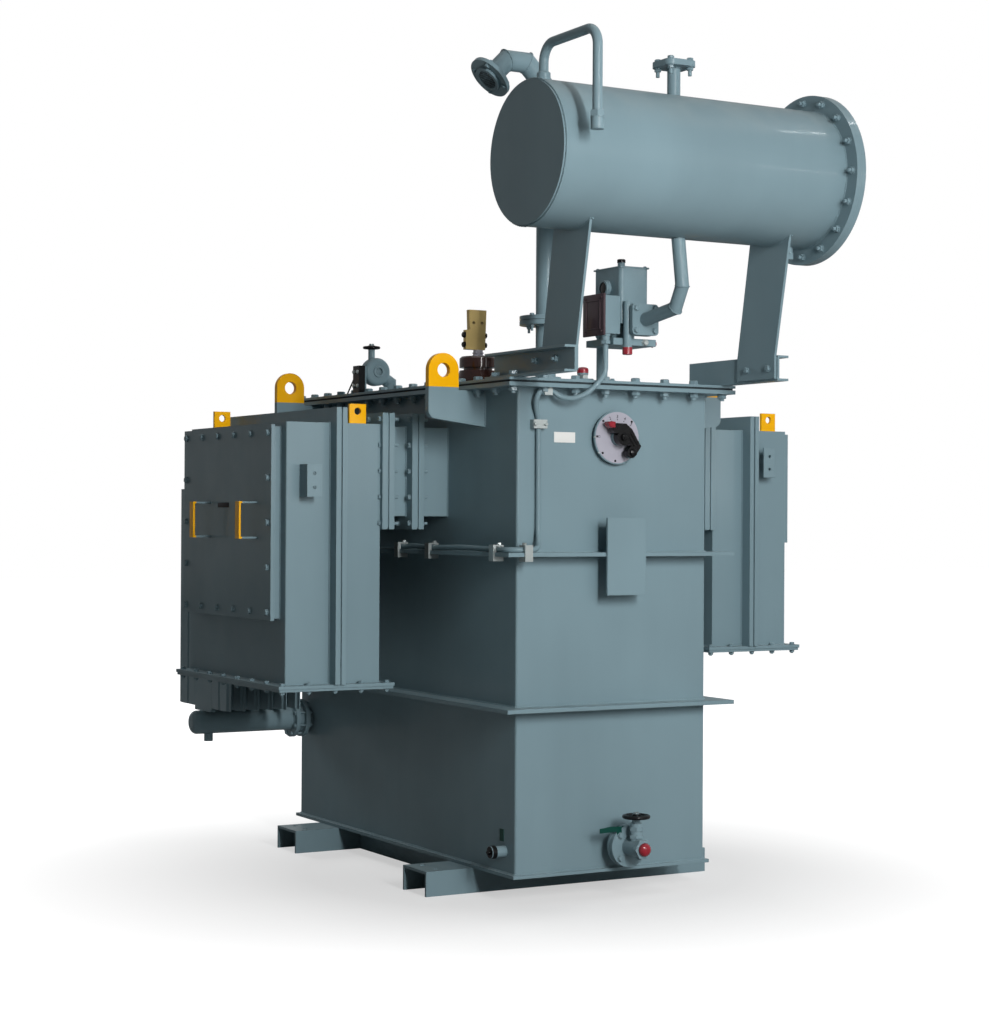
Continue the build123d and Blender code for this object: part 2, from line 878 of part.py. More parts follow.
def relay_flange(y):
    """A square pipe flange of the relay, facing along Y."""
    upright = Plane(origin=(relay_axis_offset, y + relay_flange_thickness, relay_axis_height),
                    x_dir=(1, 0, 0), z_dir=(0, -1, 0))
    outline = upright * RectangleRounded(relay_flange_width, relay_flange_width, relay_edge_radius)
    return extrude(outline, relay_flange_thickness)


def make_relay(barrel):
    front, back = -relay_front, relay_depth - relay_front
    left, right = relay_left, relay_left + relay_width
    top = relay_bottom + relay_height
    body = block((left, right), (front, back), (relay_bottom, top))
    body = fillet(body.edges().filter_by(Axis.Z), relay_edge_radius)
    near_flange = front - 2 * relay_flange_thickness - relay_flange_gap
    far_flange = back
    body += bar_y(relay_axis_offset, (near_flange, far_flange + relay_flange_thickness),
                  relay_axis_height, relay_neck_radius)
    for y in (near_flange, front - relay_flange_thickness, far_flange):
        body += relay_flange(y)
    middle = (left + right) / 2
    axis_y = (front + back) / 2
    body += post(middle, axis_y, (relay_base_height, relay_bottom), relay_base_neck)
    half_x, half_y = relay_base_width / 2, relay_base_depth / 2
    body += block((middle - half_x, middle + half_x), (axis_y - half_y, axis_y + half_y),
                  (relay_base_height, relay_base_height + relay_base_thickness))
    window_z = relay_bottom + relay_window_rise
    body += bar_x((left - relay_window_depth, right + relay_window_depth), axis_y, window_z,
                  relay_window_radius)
    body += post(middle, axis_y, (top, top + relay_stub_height), relay_stub_radius)
    probe_y = front - relay_probe_radius
    probe_top = relay_base_height + relay_probe_height
    body += post(relay_probe_offset, probe_y, (relay_base_height, probe_top), relay_probe_radius)
    body += post(relay_probe_offset, probe_y,
                 (relay_base_height - relay_probe_cap_height, relay_base_height),
                 relay_probe_cap_radius)
    keep("gas_relay", body)

    box_right = left
    box_left = box_right - terminal_box_width
    z_span = (terminal_box_bottom, terminal_box_bottom + terminal_box_height)
    box = block((box_left, box_right), (front, front + terminal_box_depth), z_span)
    extra = terminal_lid_margin
    box += block((box_left - terminal_lid_thickness, box_left),
                 (front - extra, front + terminal_box_depth + extra),
                 (z_span[0] - extra, z_span[1] + extra))
    gland_x = box_left + terminal_gland_inset
    gland_y = front + terminal_gland_setback
    box += post(gland_x, gland_y, (terminal_box_bottom - terminal_gland_height,
                                   terminal_box_bottom), terminal_gland_radius)
    keep("relay_terminal_box", box)

    start_x = relay_pipe_offset
    knee_x = start_x + relay_pipe_side
    start_y = -barrel_forward
    upper = mitred_pipe([(start_x, start_y, barrel_height - barrel_radius + overrun),
                         (knee_x, start_y, relay_pipe_drop),
                         (knee_x, start_y + relay_pipe_bend_back, relay_pipe_bend_height),
                         (relay_axis_offset, near_flange, relay_axis_height)],
                        relay_pipe_radius) - barrel
    upper = upper - block((left - relay_width, right + relay_width), (near_flange, back),
                          (relay_base_height, top))
    lower = mitred_pipe([(relay_axis_offset, far_flange + relay_flange_thickness,
                          relay_axis_height), (relay_axis_offset, tank_pipe_setback,
                                               relay_axis_height),
                         (relay_axis_offset, tank_pipe_setback, cover_top)], tank_pipe_radius)
    lower += post(relay_axis_offset, tank_pipe_setback,
                  (cover_top, cover_top + tank_pipe_flange_thickness), tank_pipe_flange_radius)
    keep("relay_pipes", Compound([upper.solid(), lower.solid()]))


def make_bushing():
    x, y = bushing_offset, bushing_setback
    groove = bushing_height - bushing_drum_height
    skirt = groove - bushing_groove_height
    outline = [(0, 0), (bushing_radius, 0), (bushing_radius, bushing_rim_height),
               (bushing_drum_radius, skirt), (bushing_groove_radius, skirt),
               (bushing_groove_radius, groove), (bushing_drum_radius, groove),
               (bushing_drum_radius, bushing_height - bushing_chamfer),
               (bushing_drum_radius - bushing_chamfer, bushing_height), (0, bushing_height)]
    face = make_face(Polyline(*outline, close=True))
    porcelain = revolve(Plane.XZ * face, Axis.Z)
    keep("bushing_porcelain", Pos(x, y, cover_top) * porcelain)
    stem_bottom = cover_top + bushing_height
    low = stem_bottom + bushing_stem_height
    high = low + palm_height
    palm = post(x, y, (stem_bottom, low), bushing_stem_radius)
    middle = x - palm_shift
    foot, crown, thick = palm_foot_width / 2, palm_width / 2, palm_thickness / 2
    flag = make_face(Polyline((middle - foot, low), (middle + foot, low), (middle + crown, high),
                              (middle - crown, high), close=True))
    upright = Plane(origin=(0, y + thick, 0), x_dir=(1, 0, 0), z_dir=(0, -1, 0))
    palm += extrude(upright * flag, palm_thickness)
    palm += block((middle - foot - palm_clamp_width, middle), (y - thick, y + thick),
                  (low, low + palm_clamp_height))
    for side in (-1, 1):
        palm -= bar_y(middle + side * palm_hole_spacing / 2, (y - palm_thickness, y + palm_thickness),
                      high - palm_hole_drop, palm_hole_radius)
    keep("bushing_terminal", palm)


def make_thermometer_pocket():
    x, y = pocket_offset, pocket_setback
    pocket = post(x, y, (cover_top, cover_top + pocket_height), pocket_radius)
    half = pocket_base_width / 2
    pocket += block((x - half, x + half), (y - half, y + half),
                    (cover_top, cover_top + pocket_base_thickness))
    cap_bottom = cover_top + pocket_height
    cap = post(x, y, (cap_bottom, cap_bottom + pocket_cap_height), pocket_cap_radius)
    keep("thermometer_pocket", pocket + cap)


def make_top_valve():
    x, y = top_valve_offset, top_valve_setback
    z = cover_top + top_valve_rise
    half = top_valve_depth / 2
    body = bar_y(x, (y - half, y + half), z, top_valve_radius)
    body = fillet(body.edges(), half / 2)
    body -= bar_y(x, (y - half - overrun, y - half + top_valve_bore_depth), z, top_valve_bore)
    riser_x = x + top_valve_neck
    elbow = mitred_pipe([(x, y, z), (riser_x, y, z - top_valve_neck_drop),
                         (riser_x, y, cover_top)], top_valve_neck_radius)
    body += elbow - bar_y(x, (y - half - overrun, y), z, top_valve_bore)
    body += post(riser_x, y, (cover_top, cover_top + top_valve_base_thickness),
                 top_valve_base_radius)
    stem_x = x - top_valve_stem_shift
    body += post(stem_x, y, (z, top_valve_bonnet_top), top_valve_bonnet_radius)
    hub_top = top_valve_bonnet_top + wheel_hub_height
    body += post(stem_x, y, (top_valve_bonnet_top, hub_top + stem_nut_height + stem_nut_gap),
                 stem_radius)
    body += stem_nut(stem_x, y, hub_top)
    clamp_x = (x - top_valve_radius - top_valve_clamp_gap - top_valve_clamp_width,
               x - top_valve_radius + top_valve_clamp_gap)
    reach = top_valve_clamp_depth / 2
    clamp_top = z + top_valve_clamp_rise
    body += block(clamp_x, (y - reach, y + reach), (cover_top, clamp_top))
    rod_x = min(clamp_x) + 2 * top_valve_rod_radius
    rod_back = y + reach + top_valve_rod_lean
    rod = mitred_pipe([(rod_x, y, z), (rod_x, rod_back, cover_top)], top_valve_rod_radius)
    body += rod - block((rod_x - overrun, rod_x + overrun), (y, rod_back + overrun),
                        (wall_top, cover_top))
    keep("top_valve", body)
    keep("top_valve_handwheel", handwheel(stem_x, y, top_valve_bonnet_top, top_wheel_radius,
                                          top_wheel_rim))


def stem_nut(x, y, hub_top):
    """The nut that keeps a handwheel on its stem."""
    low = hub_top + stem_nut_gap
    return post(x, y, (low, low + stem_nut_height), stem_nut_radius)


def handwheel(x, y, bottom, radius, rim):
    """A round rim on spokes, with a hub that turns on the valve's stem."""
    gap = stem_nut_gap
    middle = bottom + wheel_hub_height / 2
    rim_path = radius - rim
    wheel = Pos(x, y, middle) * Torus(rim_path, rim)
    for spoke in range(wheel_spoke_count):
        turn = 360 * (spoke + 0.5) / wheel_spoke_count
        arm = Rot(0, 0, turn) * bar_x((wheel_hub_radius / 2, rim_path), 0, 0, wheel_spoke_radius)
        wheel += Pos(x, y, middle) * arm
    wheel += post(x, y, (bottom + gap, bottom + wheel_hub_height), wheel_hub_radius)
    bore = stem_radius + running_clearance
    return wheel - post(x, y, (bottom - overrun, bottom + wheel_hub_height + overrun), bore)


def make_drain_valve():
    x, z = drain_offset, drain_height
    start = drain_stub
    body = bar_y(x, (0, -start), z, drain_pipe_radius)
    pair = start + 2 * drain_flange_thickness + drain_flange_gap
    body += bar_y(x, (-start, -start - drain_flange_thickness), z, drain_flange_radius)
    body += bar_y(x, (drain_flange_thickness - pair, -pair), z, drain_flange_radius)
    body += bar_y(x, (-start, -pair), z, drain_flange_radius - drain_flange_gap)
    body_end = pair + drain_body_length
    body += bar_y(x, (-pair, -body_end), z, drain_body_radius)
    nut = Plane(origin=(x, -body_end, z), x_dir=(1, 0, 0), z_dir=(0, -1, 0))
    body += extrude(nut * RegularPolygon(drain_hex_radius, 6), drain_hex_length)
    y = -drain_body_centre
    bonnet_top = drain_wheel_height - wheel_hub_height / 2
    body += post(x, y, (z, z + drain_body_radius + drain_bonnet_height), drain_bonnet_radius)
    collar = z + drain_body_radius + drain_bonnet_height / 2
    body += extrude(Pos(x, y, collar) * RegularPolygon(drain_bonnet_nut_radius, 6),
                    drain_bonnet_height / 4)
    hub_top = bonnet_top + wheel_hub_height
    body += post(x, y, (z, hub_top + stem_nut_gap + stem_nut_height), stem_radius)
    body += post(x, y, (z, bonnet_top), wheel_hub_radius)
    body += stem_nut(x, y, hub_top)
    keep("drain_valve", body)
    keep("drain_valve_handwheel", handwheel(x, y, bonnet_top, drain_wheel_radius,
                                            drain_wheel_rim))
    face = -body_end - drain_hex_length
    plug = bar_y(x, (face, face - drain_plug_length), z, drain_plug_radius)
    plug = fillet(plug.edges().sort_by(Axis.Y)[:1], drain_plug_length / 4)
    keep("drain_plug", plug)


def make_sample_stub():
    y, z = sample_setback, sample_height
    stub = bar_x((0, -sample_length), y, z, sample_radius)
    cap = bar_x((-sample_length, -sample_length - sample_plug_length), y, z, sample_plug_radius)
    keep("sampling_stub", stub + cap)


def make_tap_changer():
    x, z = tap_offset, tap_height
    depth = tap_boss_depth
    dial = bar_y(x, (0, -depth), z, tap_boss_radius)
    plate_face = depth + tap_plate_thickness
    dial += bar_y(x, (-depth, -plate_face), z, tap_plate_radius)
    hub_face = plate_face + tap_hub_depth
    dial += bar_y(x, (-plate_face, -hub_face), z, tap_hub_radius)
    shaft_end = hub_face + tap_shaft_length
    dial += bar_y(x, (-hub_face, -shaft_end), z, tap_shaft_radius)
    keep("tap_changer_dial", dial)

    near = hub_face + tap_handle_gap
    upright = Plane(origin=(x, -near, z), x_dir=(1, 0, 0), z_dir=(0, -1, 0))
    half = tap_handle_width / 2
    reach = tap_arm_radius
    spine = Polyline((-reach + half, reach - half), (0, reach - half), (half, half),
                     (reach, -reach + half), (reach - half, -tap_grip_reach + half))
    arm = trace(spine, line_width=tap_handle_width)
    arm += Pos(-reach + half, reach - half) * Circle(half)
    arm += Pos(reach - half, -tap_grip_reach + half) * Circle(half)
    for corner in spine.vertices():
        arm += Pos(corner.X, corner.Y) * Circle(half)
    arm += Circle(tap_hub_radius)
    handle = extrude(upright * arm, tap_handle_depth)
    bore = tap_shaft_radius + running_clearance
    handle -= bar_y(x, (0, -shaft_end - overrun), z, bore)
    keep("tap_changer_handle", handle)


def cable_path(points):
    """Straight runs joined by tangent arcs, each as large as its two runs allow."""
    corners = [Vector(*point) for point in points]
    radii = []
    for before, here, after in zip(corners, corners[1:], corners[2:]):
        run = min((here - before).length, (after - here).length)
        half_turn = radians((before - here).get_angle(after - here)) / 2
        radii.append(cable_run_share * run * tan(half_turn))
    return FilletPolyline(*corners, radius=radii)


def make_cable():
    path = cable_path(cable_route)
    section = Plane(origin=path @ 0, z_dir=path % 0) * Circle(cable_radius)
    keep("control_cable", sweep(section, path=path))

    half = clamp_length / 2
    across = cable_radius + clamp_cover
    slot = cable_radius + clamp_clearance
    deep = 2 * cable_radius + clamp_cover
    slot_deep = cable_radius + slot
    x, y = rim_clamp_offset, -clamp_depth
    rim_clamp = block((x - half, x + half), (y - across, y + across), (rim_bottom - deep, rim_bottom))
    rim_clamp -= block((x - clamp_length, x + clamp_length), (y - slot, y + slot),
                       (rim_bottom - slot_deep, rim_bottom))
    x, z = wall_clamp_offset, wall_clamp_height
    width = wall_clamp_width / 2
    wall_clamp = block((x - width, x + width), (-deep, 0), (z - half, z + half))
    wall_clamp -= block((x - slot, x + slot), (-slot_deep, 0), (z - clamp_length, z + clamp_length))
    clamps = [rim_clamp.solid(), wall_clamp.solid()]

    edge = -stiffener_projection
    grip = (edge - shelf_clamp_lip, edge + shelf_clamp_reach)
    cable_line = edge + shelf_cable_inset
    groove = (cable_line - slot, cable_line + slot)
    shelf = upper_stiffener_height + stiffener_thickness
    height = (upper_stiffener_height - shelf_clamp_drop, shelf + deep)
    slot_height = (shelf, shelf + slot_deep)
    stiffener = ring(stiffener_projection, upper_stiffener_height, stiffener_thickness)
    x = front_clamp_offset
    front_clamp = block((x - half, x + half), grip, height) - stiffener
    front_clamp -= block((x - clamp_length, x + clamp_length), groove, slot_height)
    clamps.append(front_clamp.solid())
    for y in side_clamp_setbacks:
        side_clamp = block(grip, (y - half, y + half), height) - stiffener
        side_clamp -= block(groove, (y - clamp_length, y + clamp_length), slot_height)
        clamps.append(side_clamp.solid())
    keep("cable_clamps", Compound(clamps))


def write_parts():
    os.makedirs("parts", exist_ok=True)
    for name, shape in nodes.items():
        shape.label = name
        export_step(shape, f"parts/{name}.step")
    print(len(nodes), "pieces")


make_base()
make_tank()
make_lugs()
make_front_plate()
make_cable_boxes()
make_radiators()
barrel_form = make_conservator()
make_filler(barrel_form)
make_breather(barrel_form)
make_vent()
make_relay(barrel_form)
make_bushing()
make_thermometer_pocket()
make_top_valve()
make_drain_valve()
make_sample_stub()
make_tap_changer()
make_cable()
write_parts()
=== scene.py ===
"""Looks of an oil-filled power transformer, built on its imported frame."""
import math

import bmesh
import bpy
from bpy.props import (FloatProperty, FloatVectorProperty, IntProperty, PointerProperty)
from mathutils import Matrix, Vector


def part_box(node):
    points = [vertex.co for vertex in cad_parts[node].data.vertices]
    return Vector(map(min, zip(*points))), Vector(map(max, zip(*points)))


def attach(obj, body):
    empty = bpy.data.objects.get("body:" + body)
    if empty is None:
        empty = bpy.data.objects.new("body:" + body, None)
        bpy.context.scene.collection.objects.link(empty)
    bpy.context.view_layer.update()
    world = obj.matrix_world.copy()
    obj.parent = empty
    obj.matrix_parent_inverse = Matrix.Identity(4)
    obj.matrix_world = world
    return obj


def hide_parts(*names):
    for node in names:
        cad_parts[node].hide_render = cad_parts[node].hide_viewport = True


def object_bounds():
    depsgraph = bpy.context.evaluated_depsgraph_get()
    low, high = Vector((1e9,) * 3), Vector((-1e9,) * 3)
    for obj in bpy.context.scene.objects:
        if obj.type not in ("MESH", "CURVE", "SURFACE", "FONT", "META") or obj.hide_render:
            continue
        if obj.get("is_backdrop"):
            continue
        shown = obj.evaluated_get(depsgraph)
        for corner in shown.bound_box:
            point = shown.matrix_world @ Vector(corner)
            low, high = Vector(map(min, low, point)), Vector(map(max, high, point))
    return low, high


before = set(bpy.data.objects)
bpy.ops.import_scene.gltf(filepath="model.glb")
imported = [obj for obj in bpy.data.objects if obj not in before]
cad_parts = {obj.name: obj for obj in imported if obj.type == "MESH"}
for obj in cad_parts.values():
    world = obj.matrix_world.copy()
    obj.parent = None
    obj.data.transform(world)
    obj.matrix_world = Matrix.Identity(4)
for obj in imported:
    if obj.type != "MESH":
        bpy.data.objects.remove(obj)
cad_low, cad_high = (Vector(corner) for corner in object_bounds())
TANK = "transformer"
X, Y, Z = Vector((1, 0, 0)), Vector((0, 1, 0)), Vector((0, 0, 1))

# Places in metres, counted as in at(), and the build of the cable boxes' throats
SIDES = (("high_voltage", -X), ("low_voltage", X))
BARREL_Y = -0.318
VENT = (0.107, 0.020)
RELAY_Z = 1.714
RELAY_FOOT = (0.350, 0.092)
THROAT_START = 0.104
THROAT_JOINT = 0.041
ADAPTERS = {"high_voltage": 0.060, "low_voltage": 0.074}

bl_info = {
    "name": "Power transformer",
    "version": (1, 0, 0),
    "blender": (4, 5, 0),
    "location": "View3D > Sidebar > Transformer",
    "description": "Paint, fasteners, welds and fittings of an oil-filled power transformer",
    "category": "Object",
}


def from_hex(code):
    """A colour written as on a paint chart, as the linear values that shaders use."""
    values = [int(code[place:place + 2], 16) / 255 for place in (0, 2, 4)]
    return tuple(v / 12.92 if v <= 0.04045 else ((v + 0.055) / 1.055) ** 2.4 for v in values)


def colour(label, words, code):
    return FloatVectorProperty(name=label, description=words, default=from_hex(code),
                               subtype="COLOR", size=3, min=0, max=1)


def length(label, words, metres):
    return FloatProperty(name=label, description=words, default=metres, min=0,
                         unit="LENGTH", subtype="DISTANCE")


def place(label, words, metres):
    return FloatProperty(name=label, description=words, default=metres, unit="LENGTH")


def turning(label, words, degrees):
    return FloatProperty(name=label, description=words, default=math.radians(degrees),
                         subtype="ANGLE")


def number(label, words, value):
    return IntProperty(name=label, description=words, default=value, min=1)


class TransformerColours(bpy.types.PropertyGroup):
    """Paints and bare finishes."""
    tank: colour("Tank paint", "Blue-grey paint of the tank and its fittings", "778E96")
    lifting: colour("Lifting paint", "Yellow paint of eyes and handles", "F8B400")
    enamel: colour("Black enamel", "Handwheels and the tap changer's handle", "0B0B0D")
    red: colour("Red caps", "Plugs, caps and the handle's tip", "8E1F2C")
    brass: colour("Brass", "Bushing terminal", "A8925F")
    porcelain: colour("Porcelain", "Brown glaze of the bushing", "2E1712")
    zinc: colour("Zinc", "Plated nuts, washers and sleeves", "A9B1B0")
    bakelite: colour("Terminal lid", "Brown lid of the relay's terminal box", "4A3B40")
    # The same near-black also colours the vent's diaphragm, partly as painted shade.
    glass: colour("Sight glass", "Dark oil behind the relay's windows", "060807")
    plate: colour("Bare plates", "Unmarked label plates", "DADBD8")
    rubber: colour("Gasket", "Edge of the flange gaskets", "363F43")
    dial: colour("Dial enamel", "White face of the tap changer", "A6A5B0")
    ink: colour("Dial marks", "Numbers and lines on the dial", "26262B")
    tag: colour("Green tag", "Small blank tags by the valves", "0C4038")


class TransformerSizes(bpy.types.PropertyGroup):
    """Sizes of fasteners and welds."""
    bolt_flats: length("Bolt head", "Width across the flats of a cover bolt", 0.024)
    bolt_head: length("Head height", "Height of a bolt head", 0.010)
    washer_width: length("Washer", "Outer width of a washer", 0.031)
    washer_height: length("Washer height", "Thickness of a washer", 0.003)
    cover_pitch: length("Cover pitch", "Spacing of the bolts round the tank cover", 0.107)
    throat_pitch: length("Throat pitch", "Spacing of the bolts round the cable box throats", 0.076)
    weld_width: length("Weld width", "Width of a weld bead", 0.008)
    weld_step: length("Weld ripple", "Half the spacing of the ripples along a weld", 0.005)
    end_bolts: number("End cover bolts", "Bolts round the conservator's end", 16)
    glands_pitch: length("Gland pitch", "Spacing of the bolts along a gland plate's front", 0.085)
    tap_steps: number("Tap positions", "Numbered positions on the dial", 5)


class TransformerStage(bpy.types.PropertyGroup):
    """Camera, floor and lights."""
    camera_x: place("Camera X", "Place of the camera along X", -3.4934)
    camera_y: place("Camera Y", "Place of the camera along Y", -5.9269)
    camera_z: place("Camera Z", "Height of the camera", 1.1342)
    turn: turning("Turn", "Turn of the view from +Y towards +X", 29.726)
    lift: turning("Lift", "Tilt of the view above the level", 0.219)
    roll: turning("Roll", "Roll of the camera about its view", 0.3146)
    lens: FloatProperty(name="Lens", default=78.02, description="Focal length in millimetres")
    floor: length("Floor", "Half width of the floor", 30.0)


GROUPS = {"transformer_colours": TransformerColours, "transformer_sizes": TransformerSizes,
          "transformer_stage": TransformerStage}


def colours():
    return bpy.context.scene.transformer_colours


def sizes():
    return bpy.context.scene.transformer_sizes


# Shader groups and materials

def add(tree, kind, **values):
    """A node of a tree, with its properties set."""
    node = tree.nodes.new(kind)
    for name, value in values.items():
        setattr(node, name, value)
    return node


def put(tree, socket, value):
    """Link a socket to another, or set its value."""
    if isinstance(value, bpy.types.NodeSocket):
        tree.links.new(value, socket)
    elif value is not None:
        socket.default_value = value


def feed(tree, node, **values):
    """Set or link inputs of a node by name; spaces are written as underscores."""
    for name, value in values.items():
        put(tree, node.inputs[name.replace("_", " ")], value)
    return node


def fed(tree, kind, **values):
    """The first output of a new node with these inputs."""
    return feed(tree, add(tree, kind), **values).outputs[0]


def math_node(tree, operation, first, second=None):
    """The result of a sum on one or two values."""
    node = add(tree, "ShaderNodeMath", operation=operation, use_clamp=False)
    for socket, value in zip(node.inputs, (first, second)):
        put(tree, socket, value)
    return node.outputs[0]


def plus(tree, first, *others):
    """Sum of values in a node tree."""
    for value in others:
        first = math_node(tree, "ADD", first, value)
    return first


def times(tree, first, second):
    return math_node(tree, "MULTIPLY", first, second)


def noise(tree, where, scale, detail=4.0, stretch=(1, 1, 1)):
    """Noise on the object's own coordinates, stretched where it is a streak."""
    place = fed(tree, "ShaderNodeMapping", Vector=where, Scale=stretch)
    node = add(tree, "ShaderNodeTexNoise")
    return feed(tree, node, Vector=place, Scale=scale, Detail=detail).outputs["Fac"]


def span(tree, value, low, high, to_low, to_high):
    """A value carried from one range to another."""
    node = add(tree, "ShaderNodeMapRange", clamp=True)
    return feed(tree, node, Value=value, From_Min=low, From_Max=high, To_Min=to_low,
                To_Max=to_high).outputs[0]


def mix(tree, share, first, second, blend="MIX"):
    node = add(tree, "ShaderNodeMix", data_type="RGBA", blend_type=blend)
    for place, value in ((0, share), (6, first), (7, second)):
        put(tree, node.inputs[place], (*value, 1) if isinstance(value, tuple) else value)
    return node.outputs[2]


def new_group(name, inputs, outputs):
    tree = bpy.data.node_groups.new(name, "ShaderNodeTree")
    for label, kind, default in inputs:
        socket = tree.interface.new_socket(label, in_out="INPUT", socket_type=kind)
        socket.default_value = default
    for label, kind in outputs:
        tree.interface.new_socket(label, in_out="OUTPUT", socket_type=kind)
    return tree, add(tree, "NodeGroupInput"), add(tree, "NodeGroupOutput")


def coat_group():
    """Sprayed or dipped coat: slow change of tone, streaks, dust on top, orange peel."""
    name = "Sprayed coat"
    if name in bpy.data.node_groups:
        return bpy.data.node_groups[name]
    tree, source, out = new_group(
        name,
        (("Colour", "NodeSocketColor", (0.5, 0.5, 0.5, 1)), ("Change", "NodeSocketFloat", 0.1),
         ("Dust", "NodeSocketFloat", 0.2), ("Gloss", "NodeSocketFloat", 0.35),
         ("Peel", "NodeSocketFloat", 0.5)),
        (("Colour", "NodeSocketColor"), ("Roughness", "NodeSocketFloat"),
         ("Height", "NodeSocketFloat")))
    given = source.outputs
    where = add(tree, "ShaderNodeTexCoord").outputs["Object"]
    both = plus(tree, noise(tree, where, 2.2, 3.0), noise(tree, where, 5.0, 5.0, (1, 1, 0.12)))
    tone = span(tree, both, 0.75, 1.25, math_node(tree, "SUBTRACT", 1.0, given["Change"]),
                plus(tree, 1.0, given["Change"]))
    grey = fed(tree, "ShaderNodeCombineColor", Red=tone, Green=tone, Blue=tone)
    toned = mix(tree, 1.0, given["Colour"], grey, "MULTIPLY")
    up = add(tree, "ShaderNodeSeparateXYZ")
    put(tree, up.inputs[0], add(tree, "ShaderNodeNewGeometry").outputs["Normal"])
    facing = span(tree, up.outputs["Z"], 0.35, 0.95, 0.0, 1.0)
    patches = span(tree, noise(tree, where, 9.0, 6.0), 0.42, 0.62, 0.25, 1.0)
    settled = times(tree, times(tree, facing, patches), given["Dust"])
    handled = span(tree, noise(tree, where, 14.0, 6.0), 0.35, 0.7, -0.05, 0.07)
    wavy = times(tree, noise(tree, where, 11.0, 1.0), 5.0)
    feed(tree, out, Colour=mix(tree, settled, toned, from_hex("B9BAB2")),
         Roughness=plus(tree, given["Gloss"], handled, times(tree, settled, 0.3)),
         Height=times(tree, plus(tree, noise(tree, where, 420.0, 1.0), wavy), given["Peel"]))
    return tree


def coated(name, base, change=0.06, dust=0.15, gloss=0.38, peel=0.5, metal=0.0, edge=0.002,
           coat=0.16, bump=0.0006, specular=0.1, coat_rough=0.11):
    """A material that wears the sprayed coat, with slightly rounded edges."""
    material = bpy.data.materials.new(name)
    material.use_nodes = True
    tree = material.node_tree
    shader = tree.nodes["Principled BSDF"]
    group = add(tree, "ShaderNodeGroup", node_tree=coat_group())
    feed(tree, group, Colour=(*base, 1), Change=change, Dust=dust, Gloss=gloss, Peel=peel)
    relief = add(tree, "ShaderNodeBump")
    feed(tree, relief, Strength=0.35, Distance=bump, Height=group.outputs["Height"])
    if edge:
        rounding = add(tree, "ShaderNodeBevel", samples=4)
        feed(tree, relief, Normal=feed(tree, rounding, Radius=edge).outputs[0])
    feed(tree, shader, Base_Color=group.outputs["Colour"], Roughness=group.outputs["Roughness"],
         Normal=relief.outputs[0], Metallic=metal, Coat_Weight=coat, Coat_Roughness=coat_rough,
         Specular_IOR_Level=specular)
    return material


def make_materials():
    c = colours()
    made = {
        "paint": coated("tank paint", c.tank),
        "cast": coated("painted casting", c.tank, change=0.1, gloss=0.4, peel=2.4, bump=0.0012,
                       coat=0.25),
        "lifting": coated("lifting paint", c.lifting, change=0.03, dust=0.04, gloss=0.3),
        "enamel": coated("black enamel", c.enamel, dust=0.03, gloss=0.3, coat=0.35,
                         coat_rough=0.06),
        "red": coated("red cap", c.red, dust=0.04, gloss=0.3, coat=0.7, coat_rough=0.05),
        "brass": coated("dull brass", c.brass, change=0.25, gloss=0.38, metal=0.85, edge=0.001,
                        coat=0, specular=0.4),
        "porcelain": coated("brown glaze", c.porcelain, dust=0.02, gloss=0.25, peel=0.2, coat=0.45,
                            coat_rough=0.04, specular=0.1),
        "zinc": coated("zinc plate", c.zinc, change=0.12, gloss=0.34, metal=0.75, edge=0.0006,
                       coat=0, specular=0.4),
        "rubber": coated("gasket rubber", c.rubber, gloss=0.7, edge=0.0006, coat=0),
        "dial": coated("dial enamel", c.dial, change=0.02, gloss=0.25, edge=0.0006),
        "ink": coated("dial marks", c.ink, change=0.02, dust=0, gloss=0.5, edge=0, coat=0),
        "tag": coated("green tag", c.tag, gloss=0.4, edge=0.0005),
        "sheath": coated("painted cable", c.tank, change=0.1, gloss=0.4, edge=0),
        "bakelite": coated("brown lid", c.bakelite, gloss=0.35, edge=0.001),
        "glass": coated("dark glass and shade", c.glass, change=0.02, dust=0.02, gloss=0.2, peel=0.05,
                        edge=0, coat=0.25, coat_rough=0.03),
        "plate": coated("bare plate", c.plate, change=0.03, gloss=0.35, edge=0.0004),
        "glaze": coated("white glaze", c.dial, change=0.03, gloss=0.2, edge=0.0006),
    }
    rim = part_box("tank_rim")[0].z + 0.005
    made["lug"] = two_tone("painted lug", c.tank, c.lifting, "Z", rim, rim + 0.002)
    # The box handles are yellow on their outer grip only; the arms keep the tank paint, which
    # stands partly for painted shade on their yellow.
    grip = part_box("box_cover_handles")[1].x - 0.012
    made["handle"] = two_tone("handle with shaded arms", c.tank, c.lifting, "X", grip, grip + 0.003)
    clamp = at(-0.033, 0, 0).x
    made["clamp"] = two_tone("valve and clamp", c.tank, c.enamel, "X", clamp, clamp - 0.002,
                             mirrored=False)
    return made


def two_tone(name, base, second, axis, start, end, mirrored=True):
    """One paint on a piece and another beyond a place along an axis."""
    material = coated(name, base)
    tree = material.node_tree
    shader = tree.nodes["Principled BSDF"]
    other = add(tree, "ShaderNodeGroup", node_tree=coat_group())
    feed(tree, other, Colour=(*second, 1), Change=0.03, Dust=0.04, Gloss=0.3, Peel=0.5)
    parts = add(tree, "ShaderNodeSeparateXYZ")
    put(tree, parts.inputs[0], add(tree, "ShaderNodeTexCoord").outputs["Object"])
    along = parts.outputs[axis]
    if mirrored:
        along = math_node(tree, "ABSOLUTE", along)
    plain = shader.inputs["Base Color"].links[0].from_socket
    feed(tree, shader, Base_Color=mix(tree, span(tree, along, start, end, 0.0, 1.0), plain,
                                      other.outputs["Colour"]))
    return material


materials = {}


# Mesh helpers

def keep(name, mesh, look, slot=None, body=TANK, bend=30, replaced=()):
    """Link a finished mesh as a piece that rides on a body."""
    mesh.shade_smooth()
    mesh.set_sharp_from_angle(angle=math.radians(bend))
    piece = bpy.data.objects.new(name, mesh)
    bpy.context.scene.collection.objects.link(piece)
    if not mesh.materials:
        mesh.materials.append(materials[look])
    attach(piece, body)
    if replaced:
        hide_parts(*replaced)


